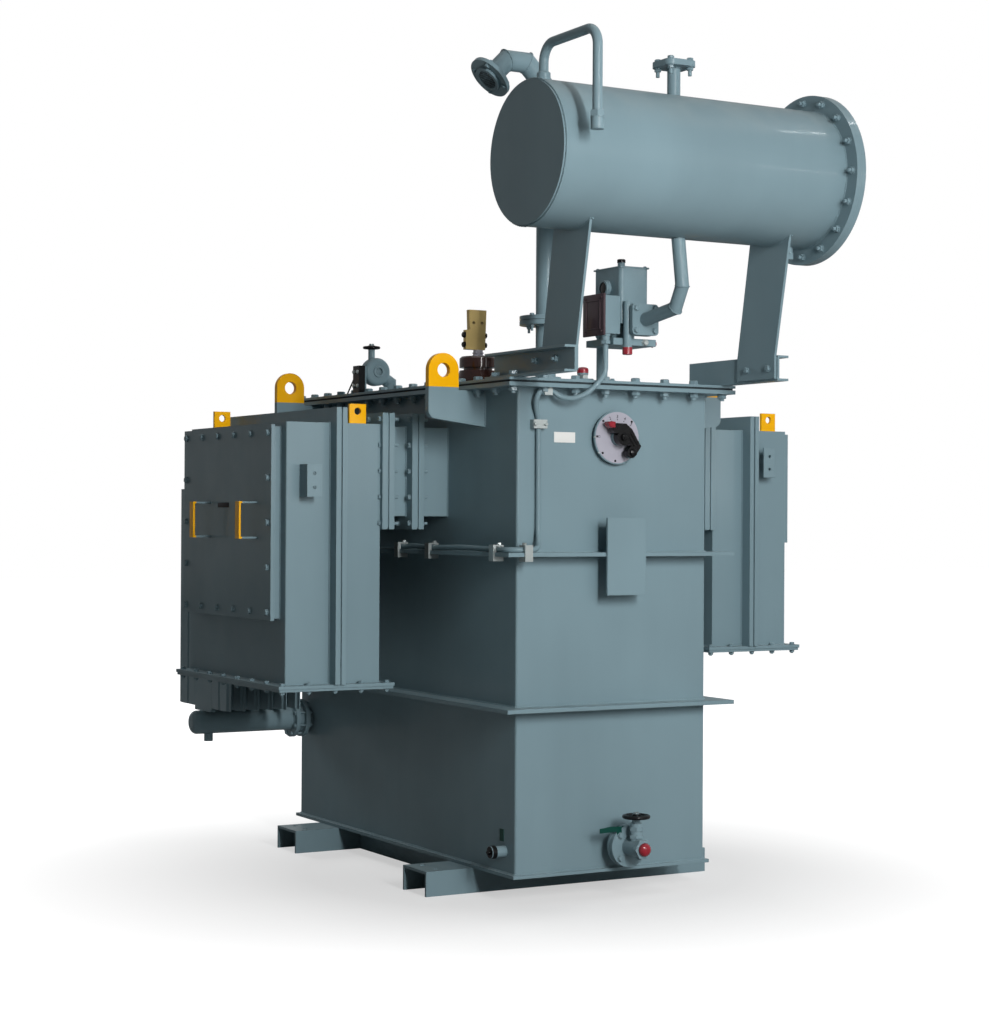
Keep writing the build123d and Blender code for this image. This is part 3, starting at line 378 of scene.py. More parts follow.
def solid(name, build, look, **more):
    """A piece whose mesh a function fills in."""
    shape = bmesh.new()
    build(shape)
    bmesh.ops.remove_doubles(shape, verts=shape.verts, dist=1e-6)
    bmesh.ops.recalc_face_normals(shape, faces=shape.faces)
    mesh = bpy.data.meshes.new(name)
    shape.to_mesh(mesh)
    shape.free()
    keep(name, mesh, look, **more)


def turned(name, look, *parts, **more):
    """A piece made of turned shapes, each given as what lathe takes."""
    solid(name, lambda shape: [lathe(shape, *part) for part in parts], look, **more)


def capped(*profile):
    """A profile closed to the axis at both ends."""
    return [(profile[0][0], 0), *profile, (profile[-1][0], 0)]


def lathe(shape, profile, centre, axis, steps=64):
    """Turn a profile of (distance along, radius) about an axis."""
    turn = axis.to_track_quat("Z", "Y").to_matrix()
    rings = []
    for along, radius in profile:
        if radius < 1e-6:
            rings.append([shape.verts.new(centre + turn @ Vector((0, 0, along)))])
            continue
        ring = []
        for step in range(steps):
            angle = 2 * math.pi * step / steps
            spot = Vector((radius * math.cos(angle), radius * math.sin(angle), along))
            ring.append(shape.verts.new(centre + turn @ spot))
        rings.append(ring)
    for low, high in zip(rings, rings[1:]):
        for step in range(steps):
            after = (step + 1) % steps
            corners = [low[step % len(low)], low[after % len(low)],
                       high[after % len(high)], high[step % len(high)]]
            unique = list(dict.fromkeys(corners))
            if len(unique) > 2:
                shape.faces.new(unique)


def slab(shape, back, front):
    """A flat shape between two like outlines."""
    back, front = ([shape.verts.new(point) for point in side] for side in (back, front))
    shape.faces.new(front)
    shape.faces.new(list(reversed(back)))
    for place in range(len(back)):
        after = (place + 1) % len(back)
        shape.faces.new((back[place], back[after], front[after], front[place]))


def bar(shape, low, high, bevel=0.0):
    """A box between two corners, with bevelled edges where a width is given."""
    size = high - low
    place = Matrix.Translation((low + high) / 2) @ Matrix.Diagonal((*size, 1))
    made = bmesh.ops.create_cube(shape, size=1, matrix=place)
    if bevel:
        edges = dict.fromkeys(edge for vert in made["verts"] for edge in vert.link_edges)
        bmesh.ops.bevel(shape, geom=list(edges), offset=bevel, segments=2, affect="EDGES",
                        profile=0.6)


def corners_of(node):
    low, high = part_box(node)
    return Vector(low), Vector(high)


def at(x, y, z):
    """A point counted from the tank's front left corner, on the ground."""
    low, _ = corners_of("tank_front_wall")
    return Vector((low.x + x, low.y + y, z))


def circle(centre, axis, radius, count, start=0.0):
    """Points round an axis."""
    turn = axis.to_track_quat("Z", "Y").to_matrix()
    angles = [start + 2 * math.pi * place / count for place in range(count)]
    return [centre + turn @ Vector((radius * math.cos(a), radius * math.sin(a), 0))
            for a in angles]


def square(centre, first, second, half):
    """The four corners of a square about a centre."""
    return [centre + first * half * a + second * half * b
            for a, b in ((-1, -1), (1, -1), (1, 1), (-1, 1))]


def outline(low, high, axis, place, inset=0.0):
    """The four corners of a box's outline, seen along an axis and set in from its edges."""
    first, second = [other for other in range(3) if other != axis]
    corners = []
    for a, b in ((0, 0), (1, 0), (1, 1), (0, 1)):
        point = Vector((0, 0, 0))
        point[axis] = place
        point[first] = (low[first] + inset, high[first] - inset)[a]
        point[second] = (low[second] + inset, high[second] - inset)[b]
        corners.append(point)
    return corners


def closed(points):
    """A run that ends where it starts."""
    return points + points[:1]


def row(start, end, pitch):
    """Points from start to end, both counted, near the given pitch."""
    gaps = max(1, round((end - start).length / pitch))
    return [start.lerp(end, place / gaps) for place in range(gaps + 1)]


def loop(corners, pitch, other=None):
    """Points round a closed run of four corners, each once, at one or two pitches."""
    points = []
    pitches = (pitch, other or pitch) * 2
    for start, end, gap in zip(corners, closed(corners)[1:], pitches):
        points += row(start, end, gap)[:-1]
    return points


# Geometry node trees

def new_tree(name, inputs):
    tree = bpy.data.node_groups.new(name, "GeometryNodeTree")
    tree.interface.new_socket("Geometry", in_out="OUTPUT", socket_type="NodeSocketGeometry")
    tree.interface.new_socket("Geometry", in_out="INPUT", socket_type="NodeSocketGeometry")
    for label, kind, default in inputs:
        socket = tree.interface.new_socket(label, in_out="INPUT", socket_type=kind)
        if default is not None:
            socket.default_value = default
    return tree, add(tree, "NodeGroupInput").outputs, add(tree, "NodeGroupOutput")


def prism(tree, sides, radius, depth, middle, top=None):
    """An upright prism or tapered prism at a height."""
    if top is None:
        node = add(tree, "GeometryNodeMeshCylinder")
        feed(tree, node, Vertices=sides, Radius=radius, Depth=depth)
    else:
        node = add(tree, "GeometryNodeMeshCone")
        feed(tree, node, Vertices=sides, Radius_Bottom=radius, Radius_Top=top, Depth=depth)
    return fed(tree, "GeometryNodeTransform", Geometry=node.outputs["Mesh"],
               Translation=fed(tree, "ShaderNodeCombineXYZ", Z=middle))


def bolt_tree():
    """Hexagon bolts on points: head and washer in front, washer, nut and thread behind."""
    name = "Hexagon bolts"
    if name in bpy.data.node_groups:
        return bpy.data.node_groups[name]
    tree, given, out = new_tree(name, (
        ("Flats", "NodeSocketFloat", 0.018), ("Head", "NodeSocketFloat", 0.0078),
        ("Washer Width", "NodeSocketFloat", 0.026), ("Washer Height", "NodeSocketFloat", 0.0025),
        ("Grip", "NodeSocketFloat", 0.03), ("Tail", "NodeSocketFloat", 0.006),
        ("Seed", "NodeSocketInt", 4), ("Material", "NodeSocketMaterial", None)))
    corner = times(tree, given["Flats"], 1 / math.sqrt(3))
    small = times(tree, given["Flats"], 0.47)
    thread = times(tree, given["Flats"], 0.32)
    washer = times(tree, given["Washer Width"], 0.5)
    high = given["Washer Height"]
    half_washer = times(tree, high, 0.5)
    straight = times(tree, given["Head"], 0.8)
    chamfer = times(tree, given["Head"], 0.2)
    below = times(tree, given["Grip"], -1.0)
    seat = plus(tree, below, times(tree, high, -1.0))
    parts = [
        prism(tree, 10, thread, given["Grip"], times(tree, given["Grip"], -0.5)),
        prism(tree, 20, washer, high, half_washer),
        prism(tree, 6, corner, straight, plus(tree, high, times(tree, straight, 0.5))),
        prism(tree, 6, corner, chamfer, plus(tree, high, straight), small),
        prism(tree, 20, washer, high, plus(tree, below, times(tree, half_washer, -1.0))),
        prism(tree, 6, corner, given["Head"], plus(tree, seat, times(tree, given["Head"], -0.5))),
        prism(tree, 10, thread, given["Tail"],
              plus(tree, seat, times(tree, given["Head"], -1.0),
                   times(tree, given["Tail"], -0.5))),
    ]
    joined = add(tree, "GeometryNodeJoinGeometry")
    for part in reversed(parts):
        tree.links.new(part, joined.inputs[0])
    facing = add(tree, "GeometryNodeInputNamedAttribute", data_type="FLOAT_VECTOR")
    feed(tree, facing, Name="facing")
    turn = feed(tree, add(tree, "FunctionNodeAlignRotationToVector", axis="Z"),
                Vector=facing.outputs[0]).outputs[0]
    placed = fed(tree, "GeometryNodeInstanceOnPoints", Points=given["Geometry"],
                 Instance=joined.outputs[0], Rotation=turn)
    spin = add(tree, "FunctionNodeRandomValue", data_type="FLOAT")
    spin.inputs[3].default_value = math.radians(60)
    feed(tree, spin, Seed=given["Seed"])
    about = fed(tree, "ShaderNodeCombineXYZ", Z=spin.outputs[1])
    finish_tree(tree, fed(tree, "GeometryNodeRotateInstances", Instances=placed,
                          Rotation=about), given["Material"], out)
    return tree


def finish_tree(tree, instances, material, out):
    real = fed(tree, "GeometryNodeRealizeInstances", Geometry=instances)
    put(tree, out.inputs[0], fed(tree, "GeometryNodeSetMaterial", Geometry=real,
                                 Material=material))


def weld_tree():
    """A rippled weld bead along edges."""
    name = "Weld bead"
    if name in bpy.data.node_groups:
        return bpy.data.node_groups[name]
    tree, given, out = new_tree(name, (
        ("Width", "NodeSocketFloat", 0.008), ("Step", "NodeSocketFloat", 0.005),
        ("Ripple", "NodeSocketFloat", 0.35), ("Seed", "NodeSocketInt", 7),
        ("Material", "NodeSocketMaterial", None)))
    curve = fed(tree, "GeometryNodeMeshToCurve", Mesh=given["Geometry"])
    points = add(tree, "GeometryNodeResampleCurve", mode="LENGTH")
    feed(tree, points, Curve=curve, Length=given["Step"])
    size = add(tree, "FunctionNodeRandomValue", data_type="FLOAT")
    size.inputs[2].default_value = 0.7
    size.inputs[3].default_value = 0.9
    feed(tree, size, Seed=given["Seed"])
    place = add(tree, "GeometryNodeInputIndex").outputs[0]
    ripple = times(tree, math_node(tree, "MODULO", place, 2.0), given["Ripple"])
    round_edge = add(tree, "GeometryNodeCurvePrimitiveCircle")
    feed(tree, round_edge, Resolution=6, Radius=times(tree, given["Width"], 0.5))
    bead = fed(tree, "GeometryNodeCurveToMesh", Curve=points.outputs[0],
               Profile_Curve=round_edge.outputs["Curve"],
               Scale=plus(tree, ripple, size.outputs[1]), Fill_Caps=True)
    finish_tree(tree, bead, given["Material"], out)
    return tree


def plain_mesh(source, name):
    """What an object looks like with its modifiers, as a mesh of its own."""
    bpy.context.scene.collection.objects.link(source)
    ready = source.evaluated_get(bpy.context.evaluated_depsgraph_get())
    mesh = bpy.data.meshes.new_from_object(ready)
    bpy.data.objects.remove(source)
    mesh.name = name
    return mesh


def run_tree(name, tree, mesh, values, look):
    """Run a geometry tree on a mesh and keep the plain result as a piece."""
    source = bpy.data.objects.new(name + ".source", mesh)
    modifier = source.modifiers.new("Shape", "NODES")
    modifier.node_group = tree
    values = dict(values, Material=materials[look])
    for item in tree.interface.items_tree:
        if item.item_type == "SOCKET" and item.in_out == "INPUT" and item.name in values:
            modifier[item.identifier] = values[item.name]
    result = plain_mesh(source, name)
    if "facing" in result.attributes:
        result.attributes.remove(result.attributes["facing"])
    keep(name, result, look, bend=40)


def bolts(name, points, ways, grip, tail, scale=1.0, look="paint"):
    """Bolts whose head's washer sits at each point, facing one way or each its own."""
    if isinstance(ways, Vector):
        ways = [ways] * len(points)
    mesh = bpy.data.meshes.new(name + ".points")
    mesh.from_pydata(points, [], [])
    facing = mesh.attributes.new("facing", "FLOAT_VECTOR", "POINT")
    facing.data.foreach_set("vector", [value for way in ways for value in way])
    s = sizes()
    values = {"Flats": s.bolt_flats * scale, "Head": s.bolt_head * scale,
              "Washer Width": s.washer_width * scale, "Washer Height": s.washer_height * scale,
              "Grip": grip, "Tail": tail}
    run_tree(name, bolt_tree(), mesh, values, look)


def welds(name, runs, scale=1.0, step=None, ripple=0.35):
    """Weld beads along runs of points, or smooth wires where there is no ripple."""
    points, edges = [], []
    for run in runs:
        first = len(points)
        points += run
        edges += [(first + place, first + place + 1) for place in range(len(run) - 1)]
    mesh = bpy.data.meshes.new(name + ".line")
    mesh.from_pydata(points, edges, [])
    s = sizes()
    values = {"Width": s.weld_width * scale, "Step": step or s.weld_step, "Ripple": ripple}
    run_tree(name, weld_tree(), mesh, values, "paint")


class Piece:
    """What the operators share: each builds one group of pieces."""
    bl_options = {"REGISTER", "UNDO"}

    def execute(self, context):
        self.build(context.scene)
        return {"FINISHED"}


class TRANSFORMER_OT_finishes(Piece, bpy.types.Operator):
    """Give every solid of the frame its paint or bare finish"""
    bl_idname = "transformer.finishes"
    bl_label = "Finishes"

    looks = (("lifting_lug", "lug"), ("gas_relay", "cast"), ("drain_valve", "cast"),
             ("top_valve", "clamp"), ("box_cover_handles", "handle"), ("cable_clamps", "zinc"),
             ("cable_box_tabs", "lifting"), ("cover_gasket", "rubber"), ("drain_plug", "red"),
             ("bushing_porcelain", "porcelain"), ("bushing_terminal", "brass"),
             ("handwheel", "enamel"), ("tap_changer_handle", "enamel"),
             ("control_cable", "sheath"), ("thermometer_pocket", "cast"))

    def build(self, scene):
        materials.update(make_materials())
        for name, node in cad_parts.items():
            look = "paint"
            for key, value in self.looks:
                if key in name:
                    look = value
            node.data.materials.clear()
            node.data.materials.append(materials[look])


class TRANSFORMER_OT_cover_bolts(Piece, bpy.types.Operator):
    """Bolt the cover, its gasket and the rim together all round"""
    bl_idname = "transformer.cover_bolts"
    bl_label = "Cover bolts"

    inset = 0.030
    flange = 0.007

    def build(self, scene):
        low, high = corners_of("tank_cover")
        channel_low, channel_high = corners_of("conservator_channels")
        plain, raised = [], []
        for point in loop(outline(low, high, 2, high.z, self.inset), sizes().cover_pitch):
            beside = min(point.x - channel_low.x, channel_high.x - point.x) < 0.040
            if beside and point.y < channel_high.y:
                raised.append(point + Z * self.flange)
            else:
                plain.append(point)
        grip = high.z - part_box("tank_rim")[0].z
        bolts("cover_bolts", plain, Z, grip=grip, tail=0.009)
        bolts("channel_bolts", raised, Z, grip=grip + self.flange, tail=0.007)


class TRANSFORMER_OT_box_bolts(Piece, bpy.types.Operator):
    """Bolt the covers, gland plates and throats of both cable boxes"""
    bl_idname = "transformer.box_bolts"
    bl_label = "Cable box bolts"

    cover_pitch = 0.128
    gland_side_pitch = 0.11

    def build(self, scene):
        for side, out in SIDES:
            low, high = corners_of(side + "_box_cover")
            corners = outline(low, high, 0, low.x if out.x < 0 else high.x, 0.024)
            bolts(side + "_cover_bolts", loop(corners, self.cover_pitch), out, grip=0.012,
                  tail=0.001, scale=0.7)
            low, high = corners_of(side + "_gland_plate")
            points = loop(outline(low, high, 2, high.z, 0.018), sizes().glands_pitch,
                          self.gland_side_pitch)
            bolts(side + "_gland_bolts", points, Z, grip=high.z - low.z, tail=0.003, scale=0.6)
            low, high = corners_of(side + "_throat")
            near = high.x if out.x < 0 else low.x
            starts = (THROAT_START, THROAT_START + THROAT_JOINT + ADAPTERS[side])
            for place, start in enumerate(starts, 1):
                corners = outline(low, high, 0, near + out.x * (start + THROAT_JOINT), 0.018)
                bolts(f"{side}_throat_bolts_{place}", loop(corners, sizes().throat_pitch), out,
                      grip=THROAT_JOINT, scale=0.6, tail=0.012)


class TRANSFORMER_OT_welds(Piece, bpy.types.Operator):
    """Lay the weld beads of the tank, the cable boxes and their throats"""
    bl_idname = "transformer.welds"
    bl_label = "Welds"

    def build(self, scene):
        low, high = corners_of("tank_front_wall")[0], corners_of("tank_back_wall")[1]
        heights = [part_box("tank_rim")[0].z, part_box("tank_floor")[1].z]
        for node in ("lower_stiffener", "upper_stiffener"):
            heights += [corner.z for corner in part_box(node)]
        welds("tank_welds", [closed(outline(low, high, 2, height)) for height in heights])
        runs = []
        for end in ("front", "back"):
            for side, wall in (("left", 1), ("right", 0)):
                low, high = corners_of(f"lifting_lug_{end}_{side}")
                x = (low, high)[wall].x
                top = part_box("tank_rim")[0].z - 0.004
                for y in (low.y, high.y):
                    runs.append([Vector((x, y, low.z + 0.004)), Vector((x, y, top))])
        welds("lug_welds", runs)
        self.box("high_voltage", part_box("tank_left_wall")[0].x, -1)
        self.box("low_voltage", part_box("tank_right_wall")[1].x, 1)

    def box(self, side, wall, way):
        low, high = corners_of(side + "_inner_chamber")
        flange = 0.045
        runs = []
        for out in (0.378, 0.413):
            x = wall + way * out
            front, back, top = low.y + flange, high.y - flange, high.z - flange
            runs.append([Vector((x, front, low.z)), Vector((x, front, top)),
                         Vector((x, back, top)), Vector((x, back, low.z))])
        low, high = corners_of(side + "_box_cover")
        for out in (0.556, 0.5775):
            runs.append(closed(outline(low, high, 0, wall + way * out, 0.006)))
        low, high = corners_of(side + "_throat")
        first = THROAT_START + THROAT_JOINT
        second = first + ADAPTERS[side]
        for out in (0.0, THROAT_START, first, second, second + THROAT_JOINT):
            runs.append(closed(outline(low, high, 0, wall + way * out, 0.040)))
        low, high = corners_of(side + "_gland_plate")
        runs.append(closed(outline(low, high, 2, high.z, 0.035)))
        welds(side + "_welds", runs, scale=0.85)


class TRANSFORMER_OT_conservator(Piece, bpy.types.Operator):
    """Bolt and weld the conservator with its end cover, legs and drain stub"""
    bl_idname = "transformer.conservator"
    bl_label = "Conservator"

    barrel = 0.203

    def build(self, scene):
        low, high = corners_of("conservator_cover")
        centre = (low + high) / 2
        face = Vector((high.x, centre.y, centre.z))
        points = circle(face, X, (high.z - low.z) / 2 - 0.0215, sizes().end_bolts)
        bolts("end_cover_bolts", points, X, grip=high.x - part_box("conservator_flange")[0].x,
              tail=0.009, scale=0.75)
        self.seams(centre)
        legs = [at(-0.004, y, 1.578) for y in (-0.138, -0.246)]
        legs += [at(0.674, y, 1.573) for y in (-0.206, -0.310)]
        bolts("leg_bolts", legs, [X, X, -X, -X], grip=0.015, tail=0.009, scale=0.7)
        stub = at(0.739, BARREL_Y, 1.8965)
        turned("drain_stub_cap", "cast",
               (capped((0, 0.013), (0.0015, 0.0165), (0.016, 0.0165), (0.0175, 0.0145)),
                stub, Z, 6),
               ([(0.0175, 0), (0.0175, 0.016), (0.021, 0.016), (0.021, 0)], stub, Z, 32))

    def seams(self, centre):
        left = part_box("conservator_end_plate")[1].x
        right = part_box("conservator_flange")[0].x
        runs = [closed(circle(Vector((x, centre.y, centre.z)), X, radius, 72))
                for x, radius in ((left, self.barrel - 0.0015), (right, self.barrel))]
        for x in (-0.012, -0.004, 0.674, 0.682):
            arc = []
            for step in range(13):
                y = -0.094 + 0.185 * step / 12
                drop = math.sqrt(self.barrel ** 2 - y ** 2)
                arc.append(at(x, BARREL_Y + y, centre.z - drop))
            runs.append(arc)
        welds("conservator_welds", runs, scale=0.8)


class TRANSFORMER_OT_pipes(Piece, bpy.types.Operator):
    """Dress the filler, the breather pipe, the vent and the relay's pipes"""
    bl_idname = "transformer.pipes"
    bl_label = "Pipes"

    gauze_pitch = 0.0054

    def build(self, scene):
        low, high = corners_of("filler_pipe")
        centre = Vector(((low.x + high.x) / 2, (low.y + high.y) / 2, high.z))
        bolts("filler_bolts", square(centre, X, Y, 0.033), Z, grip=0.017, tail=0.016, scale=0.72)
        welds("filler_welds", [closed(circle(at(0.327, BARREL_Y, z), Z, 0.0195, 32))
                               for z in (2.338, 2.4205)], scale=0.7)
        foot = at(-0.108, -0.596, 0)
        foot.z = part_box("breather_pipe")[0].z + 0.034
        turned("breather_couplings", "cast",
               ([(0, 0.012), (0, 0.0205), (0.015, 0.0205), (0.0165, 0.019), (0.0165, 0.012)],
                foot, Z, 6),
               ([(-0.004, 0.012), (-0.004, 0.0188), (0, 0.0188), (0, 0.012)], foot, Z),
               ([(0, 0.012), (0, 0.020), (0.026, 0.019), (0.030, 0.0142), (0.030, 0.012)],
                at(-0.108, BARREL_Y, 2.334), Z))
        self.vent()
        self.relay_pipes()

    def vent(self):
        outward = Vector((-1, 0, -1)).normalized()
        face = at(-0.082, 0.020, 2.415) + outward * 0.012
        down = outward.cross(Y).normalized()
        bolts("vent_bolts", square(face, Y, down, 0.0385), outward, grip=0.012, tail=0.003,
              scale=0.5)
        turned("vent_ring", "paint",
               ([(0, 0.0395), (0, 0.0415), (0.0075, 0.0415), (0.0085, 0.0405), (0.0085, 0.031),
                 (0.0075, 0.030), (0.0062, 0.030), (0.0062, 0.0395)], face, outward))
        # The near-black disc under the gauze is a diaphragm whose black stands partly for painted
        # shade on the vent's downward face.
        turned("vent_diaphragm_and_shade", "glass", (capped((0.0068, 0.0305), (0.0074, 0.0305)), face,
                                           outward), slot="tank_paint")
        middle = face + outward * 0.0080
        runs = []
        for first, second in ((Y, down), (down, Y)):
            for step in range(-5, 6):
                shift = step * self.gauze_pitch
                half = math.sqrt(0.0305 ** 2 - shift ** 2)
                runs.append([middle + first * shift - second * half,
                             middle + first * shift + second * half])
        welds("vent_gauze", runs, scale=0.16, step=0.02, ripple=0.0)
        points = circle(at(*VENT, 1.723), Z, 0.0645, 4, math.radians(20))
        bolts("vent_joint_bolts", points, Z, grip=0.027, tail=0.012, scale=0.5)
        route = [at(*VENT, 1.536), at(*VENT, 2.393), at(0.035, 0.020, 2.465),
                 at(-0.032, 0.020, 2.465), at(-0.082, 0.020, 2.415)]
        rings = [self.mitre(route[place - 1:place + 2], 0.030) for place in (1, 2, 3)]
        for z, radius, count in ((1.544, 0.0305, 32), (1.536, 0.0465, 40), (1.696, 0.0305, 32),
                                 (1.723, 0.0305, 32)):
            rings.append(closed(circle(at(*VENT, z), Z, radius, count)))
        welds("vent_welds", rings, scale=0.6)

    def mitre(self, corner, radius):
        """The oval seam where two straight runs of a pipe meet."""
        before = (corner[1] - corner[0]).normalized()
        after = (corner[2] - corner[1]).normalized()
        plane = (before + after).normalized()
        side = before.cross(after).normalized()
        long = plane.cross(side)
        wide = radius / before.dot(plane)
        angles = [2 * math.pi * step / 32 for step in range(33)]
        return [corner[1] + side * radius * math.cos(angle) + long * wide * math.sin(angle)
                for angle in angles]

    def relay_pipes(self):
        points = circle(at(*RELAY_FOOT, 1.546), Z, 0.0325, 4, math.radians(45))
        bolts("relay_pipe_foot_bolts", points, Z, grip=0.010, tail=0.001, scale=0.5)
        upper = [at(0.345, BARREL_Y, 1.938), at(0.360, BARREL_Y, 1.798),
                 at(0.360, -0.284, 1.737), at(0.350, -0.145, RELAY_Z)]
        lower = [at(0.350, 0.058, RELAY_Z), at(*RELAY_FOOT, RELAY_Z), at(*RELAY_FOOT, 1.536)]
        rings = [self.mitre(upper[0:3], 0.020), self.mitre(upper[1:4], 0.020),
                 self.mitre(lower, 0.017)]
        welds("relay_pipe_welds", rings, scale=0.55)


class TRANSFORMER_OT_relay(Piece, bpy.types.Operator):
    """Dress the gas relay and its terminal box"""
    bl_idname = "transformer.relay"
    bl_label = "Gas relay"

    def build(self, scene):
        for name, y, out, grip in (("relay_flange_bolts", -0.145, -Y, 0.045),
                                   ("relay_back_bolts", 0.058, Y, 0.014)):
            bolts(name, square(at(0.350, y, RELAY_Z), X, Z, 0.0325), out, grip=grip,
                  tail=0.001, scale=0.62)
        small, large = at(0.280, -0.028, 1.812), at(0.390, -0.028, 1.800)
        turned("relay_windows", "cast",
               ([(0, 0.0185), (0, 0.0245), (0.005, 0.0235), (0.006, 0.0195), (0.006, 0.0185)],
                small, -X),
               (capped((-0.001, 0.034), (0.008, 0.034), (0.013, 0.030), (0.013, 0.022),
                       (0.009, 0.020)), large, X))
        turned("relay_glass", "glass",
               ([(0.0, 0), (0.0, 0.019), (0.003, 0.0185), (0.0045, 0.012), (0.005, 0)],
                small, -X),
               ([(0.008, 0), (0.008, 0.021), (0.011, 0.019), (0.012, 0.010), (0.0125, 0)],
                large, X), bend=60)
        turned("relay_caps", "enamel",
               ([(0, 0.009), (0, 0.0125), (0.0085, 0.0125), (0.0103, 0.0105), (0.0103, 0)],
                at(0.340, -0.028, 1.892), Z))
        sampler = (0.308, -0.112)
        turned("relay_plugs", "red",
               (capped((-0.0012, 0.0125), (0.0005, 0.0147), (0.018, 0.0150),
                       (0.0205, 0.0150)), at(*sampler, 1.612), Z),
               (capped((-0.001, 0.011), (0.004, 0.0115), (0.004, 0.009), (0.012, 0.009),
                       (0.013, 0.008)), at(0.415, -0.080, 1.650), X))
        nut = capped((-0.001, 0.011), (0.0015, 0.011), (0.0015, 0.0095), (0.0085, 0.0095),
                     (0.010, 0.0075))
        turned("relay_base_nuts", "zinc",
               (nut, at(0.311, -0.103, 1.650), -Y, 6), (nut, at(0.375, -0.103, 1.650), -Y, 6),
               ([(0, 0.0115), (0, 0.0135), (0.006, 0.0135), (0.006, 0.0115)],
                at(*sampler, 1.634), Z, 24))
        solid("relay_top_ribs", self.roof, "cast")
        low, high = corners_of("relay_terminal_box")
        solid("terminal_box_lid", lambda shape: self.lid(shape, low, high), "bakelite")
        turned("terminal_box_fittings", "cast",
               *((capped((0, wide - 0.001), (0.001, wide), (tall - 0.001, wide),
                         (tall, wide - 0.001)), at(0.250, -0.084, z), Z, 6)
                 for z, tall, wide in ((1.664, 0.008, 0.0158), (1.6415, 0.011, 0.0150))))
        screws = [Vector((low.x - 0.001, y, z)) for y in (low.y + 0.011, high.y - 0.011)
                  for z in (high.z - 0.011, high.z - 0.111)]
        bolts("terminal_lid_screws", screws, -X, grip=0.004, tail=0.001, scale=0.24,
              look="bakelite")

    def roof(self, shape):
        bar(shape, at(0.2885, -0.1015, 1.8685), at(0.3915, 0.0455, 1.8735), bevel=0.0012)
        for x in (0.298, 0.382):
            for y in (-0.092, 0.036):
                lathe(shape, capped((0, 0.005), (0.003, 0.005), (0.0042, 0.003)),
                      at(x, y, 1.8733), Z, 12)
        lathe(shape, [(0, 0.010), (0, 0.017), (0.006, 0.017), (0.008, 0.0115), (0.008, 0.010),
                      (0, 0.010)], at(0.340, -0.028, 1.873), Z)

    def lid(self, shape, low, high):
        left = low.x
        base = high.z - 0.122
        bar(shape, Vector((left - 0.001, low.y - 0.0006, base - 0.0006)),
            Vector((left + 0.0062, high.y + 0.0006, high.z + 0.0006)), bevel=0.0015)
        edge, wide = 0.018, 0.003
        a, b = low.y + edge, high.y - edge
        c, d = base + edge, high.z - edge
        for y0, y1, z0, z1 in ((a, b, c, c + wide), (a, b, d - wide, d),
                               (a, a + wide, c, d), (b - wide, b, c, d)):
            bar(shape, Vector((left - 0.0028, y0, z0)), Vector((left - 0.0005, y1, z1)),
                bevel=0.0007)


class TRANSFORMER_OT_cover_fittings(Piece, bpy.types.Operator):
    """Dress the bushing, the thermometer pocket and the top valve"""
    bl_idname = "transformer.cover_fittings"
    bl_label = "Cover fittings"

    def build(self, scene):
        turned("bushing_sleeve", "glaze",
               ([(-0.0005, 0.011), (-0.0005, 0.020), (0.003, 0.020), (0.005, 0.0155),
                 (0.009, 0.0155), (0.010, 0.0175), (0.0125, 0.0175), (0.0135, 0.0148),
                 (0.0202, 0.0148), (0.0202, 0.011)], at(0.058, 0.341, 1.6225), Z))
        bolts("terminal_clamp_bolts", [at(0.011, 0.341, z) for z in (1.658, 1.688)], -X,
              grip=0.067, tail=0.001, scale=0.62, look="enamel")
        pocket = (0.235, 0.018)
        turned("thermometer_cap", "red",
               ([(-0.013, 0), (-0.013, 0.0172), (-0.003, 0.0174), (0.0015, 0.0158),
                 (0.0040, 0.011), (0.0050, 0.005), (0.0051, 0)],
                at(*pocket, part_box("thermometer_pocket")[1].z), Z))
        turned("thermometer_nut", "zinc",
               (capped((0, 0.0185), (0.0025, 0.0185), (0.0025, 0.0172), (0.011, 0.0172),
                       (0.0125, 0.0155), (0.0148, 0.0155)), at(*pocket, 1.5442), Z, 6))
        port = at(0.014, 0.933, 1.608)
        turned("top_valve_port", "cast",
               ([(-0.003, 0.0125), (-0.003, 0.019), (0.0025, 0.019), (0.004, 0.0175),
                 (0.004, 0.0135), (0.003, 0.0125)], port, -Y))
        turned("top_valve_plug", "cast",
               (capped((-0.0075, 0.0128), (-0.0035, 0.0128), (-0.0022, 0.0105)), port, -Y))
        bolts("top_valve_bolts", circle(at(0.068, 0.958, 1.544), Z, 0.0275, 4,
                                        math.radians(45)), Z, grip=0.008, tail=0.001,
              scale=0.34)
        clamps = [at(-0.057, y, z) for y in (0.944, 0.972) for z in (1.560, 1.606)]
        bolts("top_valve_clamp_bolts", clamps, -X, grip=0.008, tail=0.001, scale=0.42,
              look="zinc")


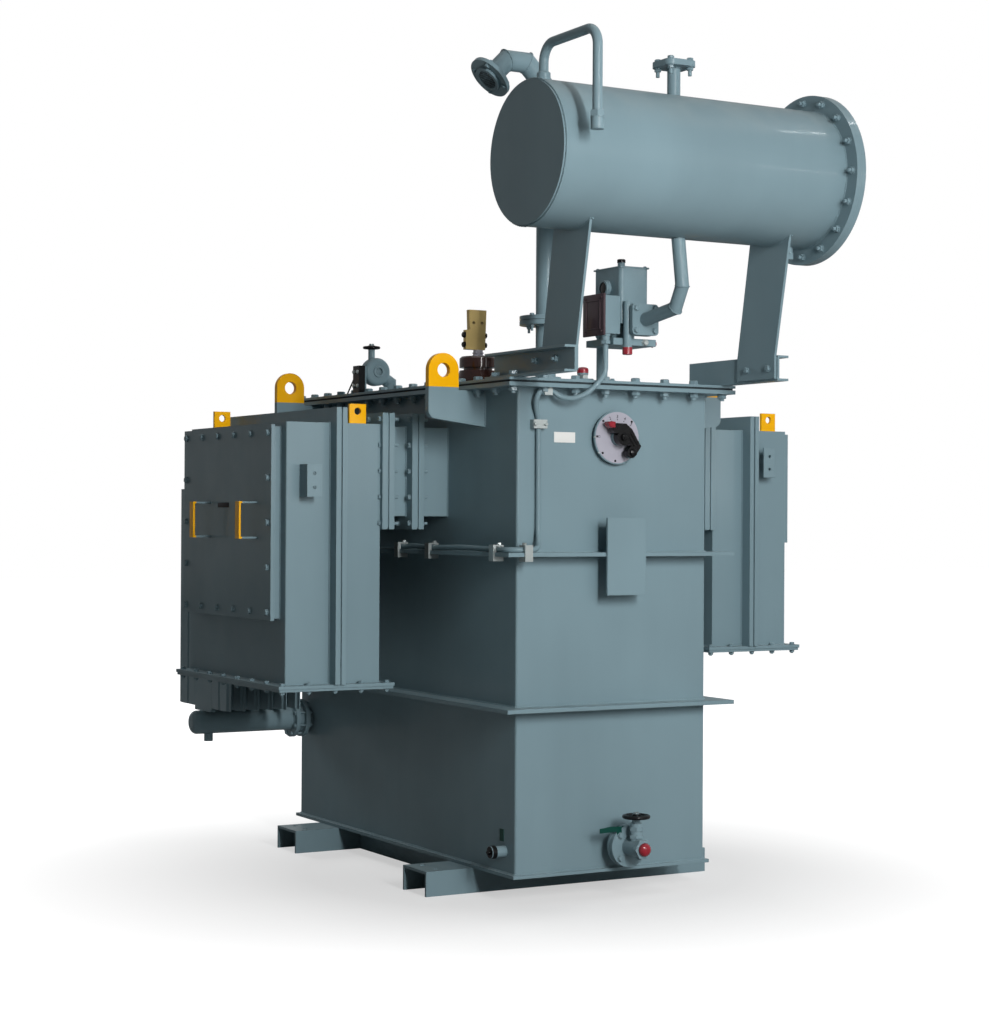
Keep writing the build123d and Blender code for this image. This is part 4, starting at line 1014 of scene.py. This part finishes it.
class TRANSFORMER_OT_tap_changer(Piece, bpy.types.Operator):
    """Face, marks and pointer of the tap changer"""
    bl_idname = "transformer.tap_changer"
    bl_label = "Tap changer"

    first_angle, sweep = 140, 100

    def build(self, scene):
        self.centre = at(0.333, -0.021, 1.370)
        self.handle = corners_of("tap_changer_handle")[0].y
        turned("dial_face", "dial",
               ([(-0.0005, 0.022), (-0.0005, 0.0765), (0.0008, 0.0765), (0.0012, 0.0761),
                 (0.0012, 0.022), (-0.0005, 0.022)], self.centre, -Y, 96))
        screw = capped((0.001, 0.0034), (0.0025, 0.0034), (0.0034, 0.0022))
        turned("dial_screws", "enamel", *((screw, self.spot(angle, 0.0700), -Y, 16)
                                          for angle in (44, 136, 222, 264, 318)))
        rim = [self.spot(angle, 0.0785) + Y * 0.0005 for angle in (180, 216)]
        bolts("dial_rim_screws", rim, -Y, grip=0.003, tail=0.001, scale=0.2, look="zinc")
        steps = sizes().tap_steps
        angles = [self.first_angle - self.sweep * step / (steps - 1) for step in range(steps)]
        for step, angle in enumerate(angles, 1):
            self.number(step, angle)
        solid("dial_marks", lambda shape: self.marks(shape, angles), "ink")
        outer = ((-0.057, 0.040), (-0.054, 0.0455), (-0.044, 0.0465), (-0.031, 0.0452),
                 (-0.031, 0.0265), (-0.0430, 0.0270), (-0.051, 0.031))
        solid("pointer_tip", lambda shape: self.tip(shape, outer), "red", body="tap_handle",
              bend=12)
        solid("handle_grip", self.grip, "enamel", body="tap_handle")
        over = self.handle - corners_of("tap_changer_dial")[0].y + 0.0004
        hub = Vector((self.centre.x, self.handle, self.centre.z))
        turned("handle_screw", "enamel",
               ([(over, 0), (over, 0.0088), (-0.0005, 0.0088), (-0.0005, 0.0115),
                 (over, 0.0115), (over + 0.0012, 0.0102), (over + 0.0012, 0)], hub, -Y, 40),
               (capped((over + 0.0010, 0.0068), (over + 0.0024, 0.0068),
                       (over + 0.0030, 0.0058)), hub, -Y, 6), body="tap_handle")

    def spot(self, degrees, radius):
        angle = math.radians(degrees)
        return self.centre + Vector((radius * math.cos(angle), 0, radius * math.sin(angle)))

    def marks(self, shape, angles):
        """A dot at each position, and the small double sign at the left."""
        for angle in angles:
            lathe(shape, capped((0.001, 0.0016), (0.0016, 0.0016)), self.spot(angle, 0.0535),
                  -Y, 12)
        left = self.centre + Vector((-0.072, 0, 0.002))
        for x0, z0, x1, z1 in ((-0.0025, -0.003, 0.0035, 0.003), (0.005, -0.003, 0.011, -0.0022),
                               (0.005, 0.0022, 0.011, 0.003), (0.005, -0.003, 0.0058, 0.003),
                               (0.0102, -0.003, 0.011, 0.003)):
            bar(shape, left + Vector((x0, -0.0016, z0)), left + Vector((x1, -0.0010, z1)))

    def number(self, step, angle):
        text = bpy.data.curves.new(f"tap_number_{step}", "FONT")
        text.body = str(step)
        text.size = 0.0135
        text.align_x = text.align_y = "CENTER"
        text.extrude = 0.0002
        text.resolution_u = 3
        mesh = plain_mesh(bpy.data.objects.new(text.name + ".text", text), text.name)
        mesh.materials.clear()
        turn = (Matrix.Rotation(math.radians(angle - 90), 4, -Y)
                @ Matrix.Rotation(math.radians(90), 4, "X"))
        mesh.transform(Matrix.Translation(self.spot(angle, 0.0625) - Y * 0.0014) @ turn)
        keep(mesh.name, mesh, "ink")

    def tip(self, shape, outer):
        slab(shape, *([Vector((self.centre.x + x, self.handle + depth, self.centre.z + z))
                       for x, z in outer] for depth in (0.0245, -0.0006)))
        edges = [edge for edge in shape.edges
                 if max(vert.co.y for vert in edge.verts) < self.handle]
        bmesh.ops.bevel(shape, geom=edges, offset=0.002, segments=3, affect="EDGES")

    def grip(self, shape):
        """Two ridges along the arm and the knob at its end."""
        base = Vector((self.centre.x, self.handle, self.centre.z))
        ends = base + Vector((0.017, 0, 0.010)), base + Vector((0.039, 0, -0.024))
        across = (ends[1] - ends[0]).normalized().cross(Y)
        for shift in (-0.0055, 0.0055):
            slab(shape, *([end + across * (shift + a) + Y * b for a, b in
                           ((-0.0012, 0.0004), (-0.0008, -0.0022), (0.0008, -0.0022),
                            (0.0012, 0.0004))] for end in ends))
        lathe(shape, [(0, 0), (0, 0.0115), (0.003, 0.0120), (0.006, 0.0105), (0.0075, 0.007),
                      (0.0078, 0)], base + Vector((0.031, 0.001, -0.046)), -Y, 32)


class TRANSFORMER_OT_low_fittings(Piece, bpy.types.Operator):
    """Dress the drain valve, the sampling stub and the radiators' flanges"""
    bl_idname = "transformer.low_fittings"
    bl_label = "Valves and stubs"

    fins = 6
    fin_pitch = 0.050

    def build(self, scene):
        bolts("drain_flange_bolts", circle(at(0.352, -0.072, 0.156), -Y, 0.0475, 4,
                                           math.radians(45)), -Y, grip=0.028, tail=0.011,
              scale=0.62)
        foot = at(0.352, 0, 0.156)
        foot.y = corners_of("drain_plug")[1].y
        turned("drain_cap", "red",
               ([(0, 0), (0, 0.0175), (0.0015, 0.0190), (0.006, 0.0192), (0.011, 0.0172),
                 (0.0150, 0.0128), (0.0173, 0.0065), (0.0179, 0)], foot, -Y, 48),
               *((capped((-0.0035, 0.0009), (0.0035, 0.0009)), point, -Y, 8)
                 for point in circle(foot - Y * 0.0055, -Y, 0.0192, 16)),
               replaced=("drain_plug",))
        stem = at(0.352, -0.106, 0)
        turned("drain_gland", "cast",
               *((capped((0, wide - 0.0012), (0.0012, wide), (tall - 0.0012, wide),
                         (tall, wide - 0.0012)), stem + Z * z, Z, 6)
                 for z, tall, wide in ((0.1835, 0.010, 0.0225), (0.2205, 0.009, 0.0155))))
        nuts = []
        for x, y, wheel in ((0.352, -0.106, "drain_valve"), (0.0, 0.958, "top_valve")):
            nuts.append((capped((0, 0.0088), (0.004, 0.0088), (0.0052, 0.0074)),
                         at(x, y, corners_of(wheel)[1].z - 0.0048), Z, 6))
        turned("wheel_nuts", "zinc", *nuts)
        foot = at(-0.0335, 0.062, 0.148)
        turned("sampling_plug", "enamel",
               (capped((0, 0.0195), (0.0140, 0.0195), (0.0168, 0.0175)), foot, -X, 40),
               (capped((0.0160, 0.0085), (0.0240, 0.0085), (0.0250, 0.0075)), foot, -X, 4))
        self.radiators()

    def radiators(self):
        places, ways, rings, necks = [], [], [], []
        for wall, out in ((0.0, -X), (0.670, X)):
            for z in (0.426, 1.274):
                stub = at(wall, 1.442, z)
                places += circle(stub + out * 0.070, out, 0.0560, 8, math.radians(22.5))
                for depth, radius in ((0.0005, 0.0365), (0.0705, 0.0405)):
                    rings.append(closed(circle(stub + out * depth, out, radius, 36)))
            for fin in range(self.fins):
                for side in (-0.007, 0.007):
                    x = wall + out.x * (0.135 + self.fin_pitch * fin) + side
                    necks += [[at(x, 1.373, z), at(x, 1.511, z)] for z in (0.466, 1.234)]
            ways += [out] * 16
        bolts("radiator_flange_bolts", places, ways, grip=0.050, tail=0.006, scale=0.5)
        welds("radiator_welds", rings + necks, scale=0.6)


class TRANSFORMER_OT_plates(Piece, bpy.types.Operator):
    """Small unmarked plates, tags and the cable's fixings"""
    bl_idname = "transformer.plates"
    bl_label = "Plates and tags"

    def build(self, scene):
        solid("wall_plate", lambda shape: bar(shape, at(0.125, -0.0012, 1.352),
                                              at(0.198, 0.0002, 1.383), bevel=0.0004), "plate")
        face = corners_of("high_voltage_box_cover")[0].x
        start, end = at(0, 0.752, 1.156), at(0, 0.840, 1.171)
        start.x, end.x = face - 0.0012, face + 0.0002
        solid("cover_plate", lambda shape: bar(shape, start, end, bevel=0.0004), "ink")
        solid("green_tags", self.tags, "tag")
        bolts("wall_clamp_screws", [at(x, -0.022, 1.404) for x in (0.048, 0.084)], -Y,
              grip=0.004, tail=0.001, scale=0.42, look="zinc")
        shelf = [at(-0.042, y, 1.050) for y in (0.029, 0.430, 0.635)] + [at(0.001, -0.042, 1.050)]
        bolts("shelf_clamp_screws", shelf, Z, grip=0.004, tail=0.001, scale=0.5, look="zinc")

    def tags(self, shape):
        drain = [at(x, -0.0718, z) for x, z in
                 ((0.246, 0.200), (0.303, 0.202), (0.312, 0.187), (0.324, 0.187),
                  (0.322, 0.210), (0.330, 0.217), (0.281, 0.218), (0.246, 0.214))]
        stub = [at(0, y, z) for y, z in
                ((0.067, 0.176), (0.089, 0.176), (0.089, 0.212), (0.067, 0.212))]
        for corners, out in ((drain, -Y), (stub, -X)):
            slab(shape, corners, [corner + out * 0.0012 for corner in corners])


class TRANSFORMER_OT_stage(Piece, bpy.types.Operator):
    """Set up the floor, the lights and the camera"""
    bl_idname = "transformer.stage"
    bl_label = "Stage"

    def build(self, scene):
        scene.view_settings.view_transform = "Standard"
        stage = scene.transformer_stage
        self.camera(scene, stage)
        self.floor(scene, stage)
        self.sky(scene)
        for lamp in (("key lamp", (-0.5, -8.2, 3.8), 2.0, 190),
                     ("side lamp", (-0.78, -4.3, 2.1), 0.14, 84, 1.8),
                     ("front fill", (2.2, -8.0, 2.4), 2.4, 64),
                     ("narrow lamp", (4.6, -5.9, 1.6), 0.3, 6, 0.9),
                     ("overhead tube", (2.9, -1.3, 5.2), 1.6, 12, 0.05),
                     ("front tube", (2.8, -3.8, 2.4), 1.2, 4, 0.03),
                     ("top lamp", (0.2, 0.0, 7.0), 3.0, 40),
                     ("right lamp", (8.0, 0.6, 3.4), 2.4, 350, None, False),
                     ("back lamp", (-0.8, 8.4, 3.6), 2.4, 380, None, False)):
            self.lamp(*lamp)

    def camera(self, scene, stage):
        data = bpy.data.cameras.new("camera")
        data.lens = stage.lens
        data.sensor_fit = "HORIZONTAL"
        data.shift_y = -0.00435
        data.clip_end = 100
        camera = bpy.data.objects.new("camera", data)
        scene.collection.objects.link(camera)
        ahead = Vector((math.sin(stage.turn) * math.cos(stage.lift),
                        math.cos(stage.turn) * math.cos(stage.lift), math.sin(stage.lift)))
        right = ahead.cross(Z).normalized()
        above = right.cross(ahead)
        axes = Matrix((right, above, -ahead)).transposed()
        level = axes.to_4x4() @ Matrix.Rotation(stage.roll, 4, "Z")
        place = Matrix.Translation((stage.camera_x, stage.camera_y, stage.camera_z))
        camera.matrix_world = place @ level
        scene.camera = camera

    def floor(self, scene, stage):
        mesh = bpy.data.meshes.new("floor")
        half = stage.floor
        mesh.from_pydata([(-half, -half, 0), (half, -half, 0), (half, half, 0), (-half, half, 0)],
                         [], [(0, 1, 2, 3)])
        floor = bpy.data.objects.new("floor", mesh)
        scene.collection.objects.link(floor)
        material = bpy.data.materials.new("pale floor with painted shadow")
        material.use_nodes = True
        tree = material.node_tree
        shader = tree.nodes["Principled BSDF"]
        feed(tree, shader, Base_Color=(0.3, 0.3, 0.3, 1), Roughness=0.95)
        seen = add(tree, "ShaderNodeLightPath").outputs["Is Camera Ray"]
        away = add(tree, "ShaderNodeVectorMath", operation="LENGTH")
        put(tree, away.inputs[0], add(tree, "ShaderNodeTexCoord").outputs["Object"])
        # Painted shadow: the floor's camera-ray emission is lower within about 2 m of the middle,
        # a grey pool that stands for the shadow round the base.
        painted_shadow_glow = span(tree, away.outputs["Value"], 0.7, 2.0, 0.52, 0.97)
        feed(tree, shader, Emission_Color=(1, 1, 1, 1), Emission_Strength=times(tree, seen, painted_shadow_glow))
        mesh.materials.append(material)
        floor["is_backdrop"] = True

    def sky(self, scene):
        world = bpy.data.worlds.new("studio")
        world.use_nodes = True
        tree = world.node_tree
        path = add(tree, "ShaderNodeLightPath")
        mirrored = times(tree, path.outputs["Is Glossy Ray"], 0.4)
        seen = math_node(tree, "MAXIMUM", path.outputs["Is Camera Ray"],
                         math_node(tree, "MAXIMUM", mirrored,
                                   path.outputs["Is Transmission Ray"]))
        strength = span(tree, seen, 0.0, 1.0, 0.07, 1.0)
        feed(tree, tree.nodes["Background"], Color=(1, 1, 1, 1), Strength=strength)
        scene.world = world

    def lamp(self, name, place, size, power, tall=None, glossy=True):
        """A square or upright lamp that looks at the transformer's middle."""
        data = bpy.data.lights.new(name, "AREA")
        data.size = size
        if tall:
            data.shape = "RECTANGLE"
            data.size_y = tall
        data.energy = power
        lamp = bpy.data.objects.new(name, data)
        bpy.context.scene.collection.objects.link(lamp)
        lamp.visible_camera = False
        lamp.visible_glossy = glossy
        middle = (cad_low + cad_high) / 2
        aim = (middle - Vector(place)).to_track_quat("-Z", "Y")
        lamp.matrix_world = Matrix.Translation(place) @ aim.to_matrix().to_4x4()


OPERATORS = (
    TRANSFORMER_OT_stage,
    TRANSFORMER_OT_finishes,
    TRANSFORMER_OT_cover_bolts,
    TRANSFORMER_OT_box_bolts,
    TRANSFORMER_OT_welds,
    TRANSFORMER_OT_conservator,
    TRANSFORMER_OT_pipes,
    TRANSFORMER_OT_relay,
    TRANSFORMER_OT_cover_fittings,
    TRANSFORMER_OT_tap_changer,
    TRANSFORMER_OT_low_fittings,
    TRANSFORMER_OT_plates,
)


class TRANSFORMER_PT_panel(bpy.types.Panel):
    """Lists the transformer's groups of pieces and their sizes"""
    bl_idname = "TRANSFORMER_PT_panel"
    bl_label = "Transformer"
    bl_space_type = "VIEW_3D"
    bl_region_type = "UI"
    bl_category = "Transformer"

    def draw(self, context):
        layout = self.layout
        for key, group in GROUPS.items():
            box = layout.box()
            for name in group.__annotations__:
                box.prop(getattr(context.scene, key), name)
        for operator in OPERATORS:
            layout.operator(operator.bl_idname)


def register():
    for name, group in GROUPS.items():
        bpy.utils.register_class(group)
        setattr(bpy.types.Scene, name, PointerProperty(type=group))
    for each in (*OPERATORS, TRANSFORMER_PT_panel):
        bpy.utils.register_class(each)


def unregister():
    for each in (TRANSFORMER_PT_panel, *reversed(OPERATORS)):
        bpy.utils.unregister_class(each)
    for name, group in reversed(GROUPS.items()):
        delattr(bpy.types.Scene, name)
        bpy.utils.unregister_class(group)


def main():
    register()
    for operator in OPERATORS:
        family, name = operator.bl_idname.split(".")
        getattr(getattr(bpy.ops, family), name)()


if __name__ == "__main__":
    main()
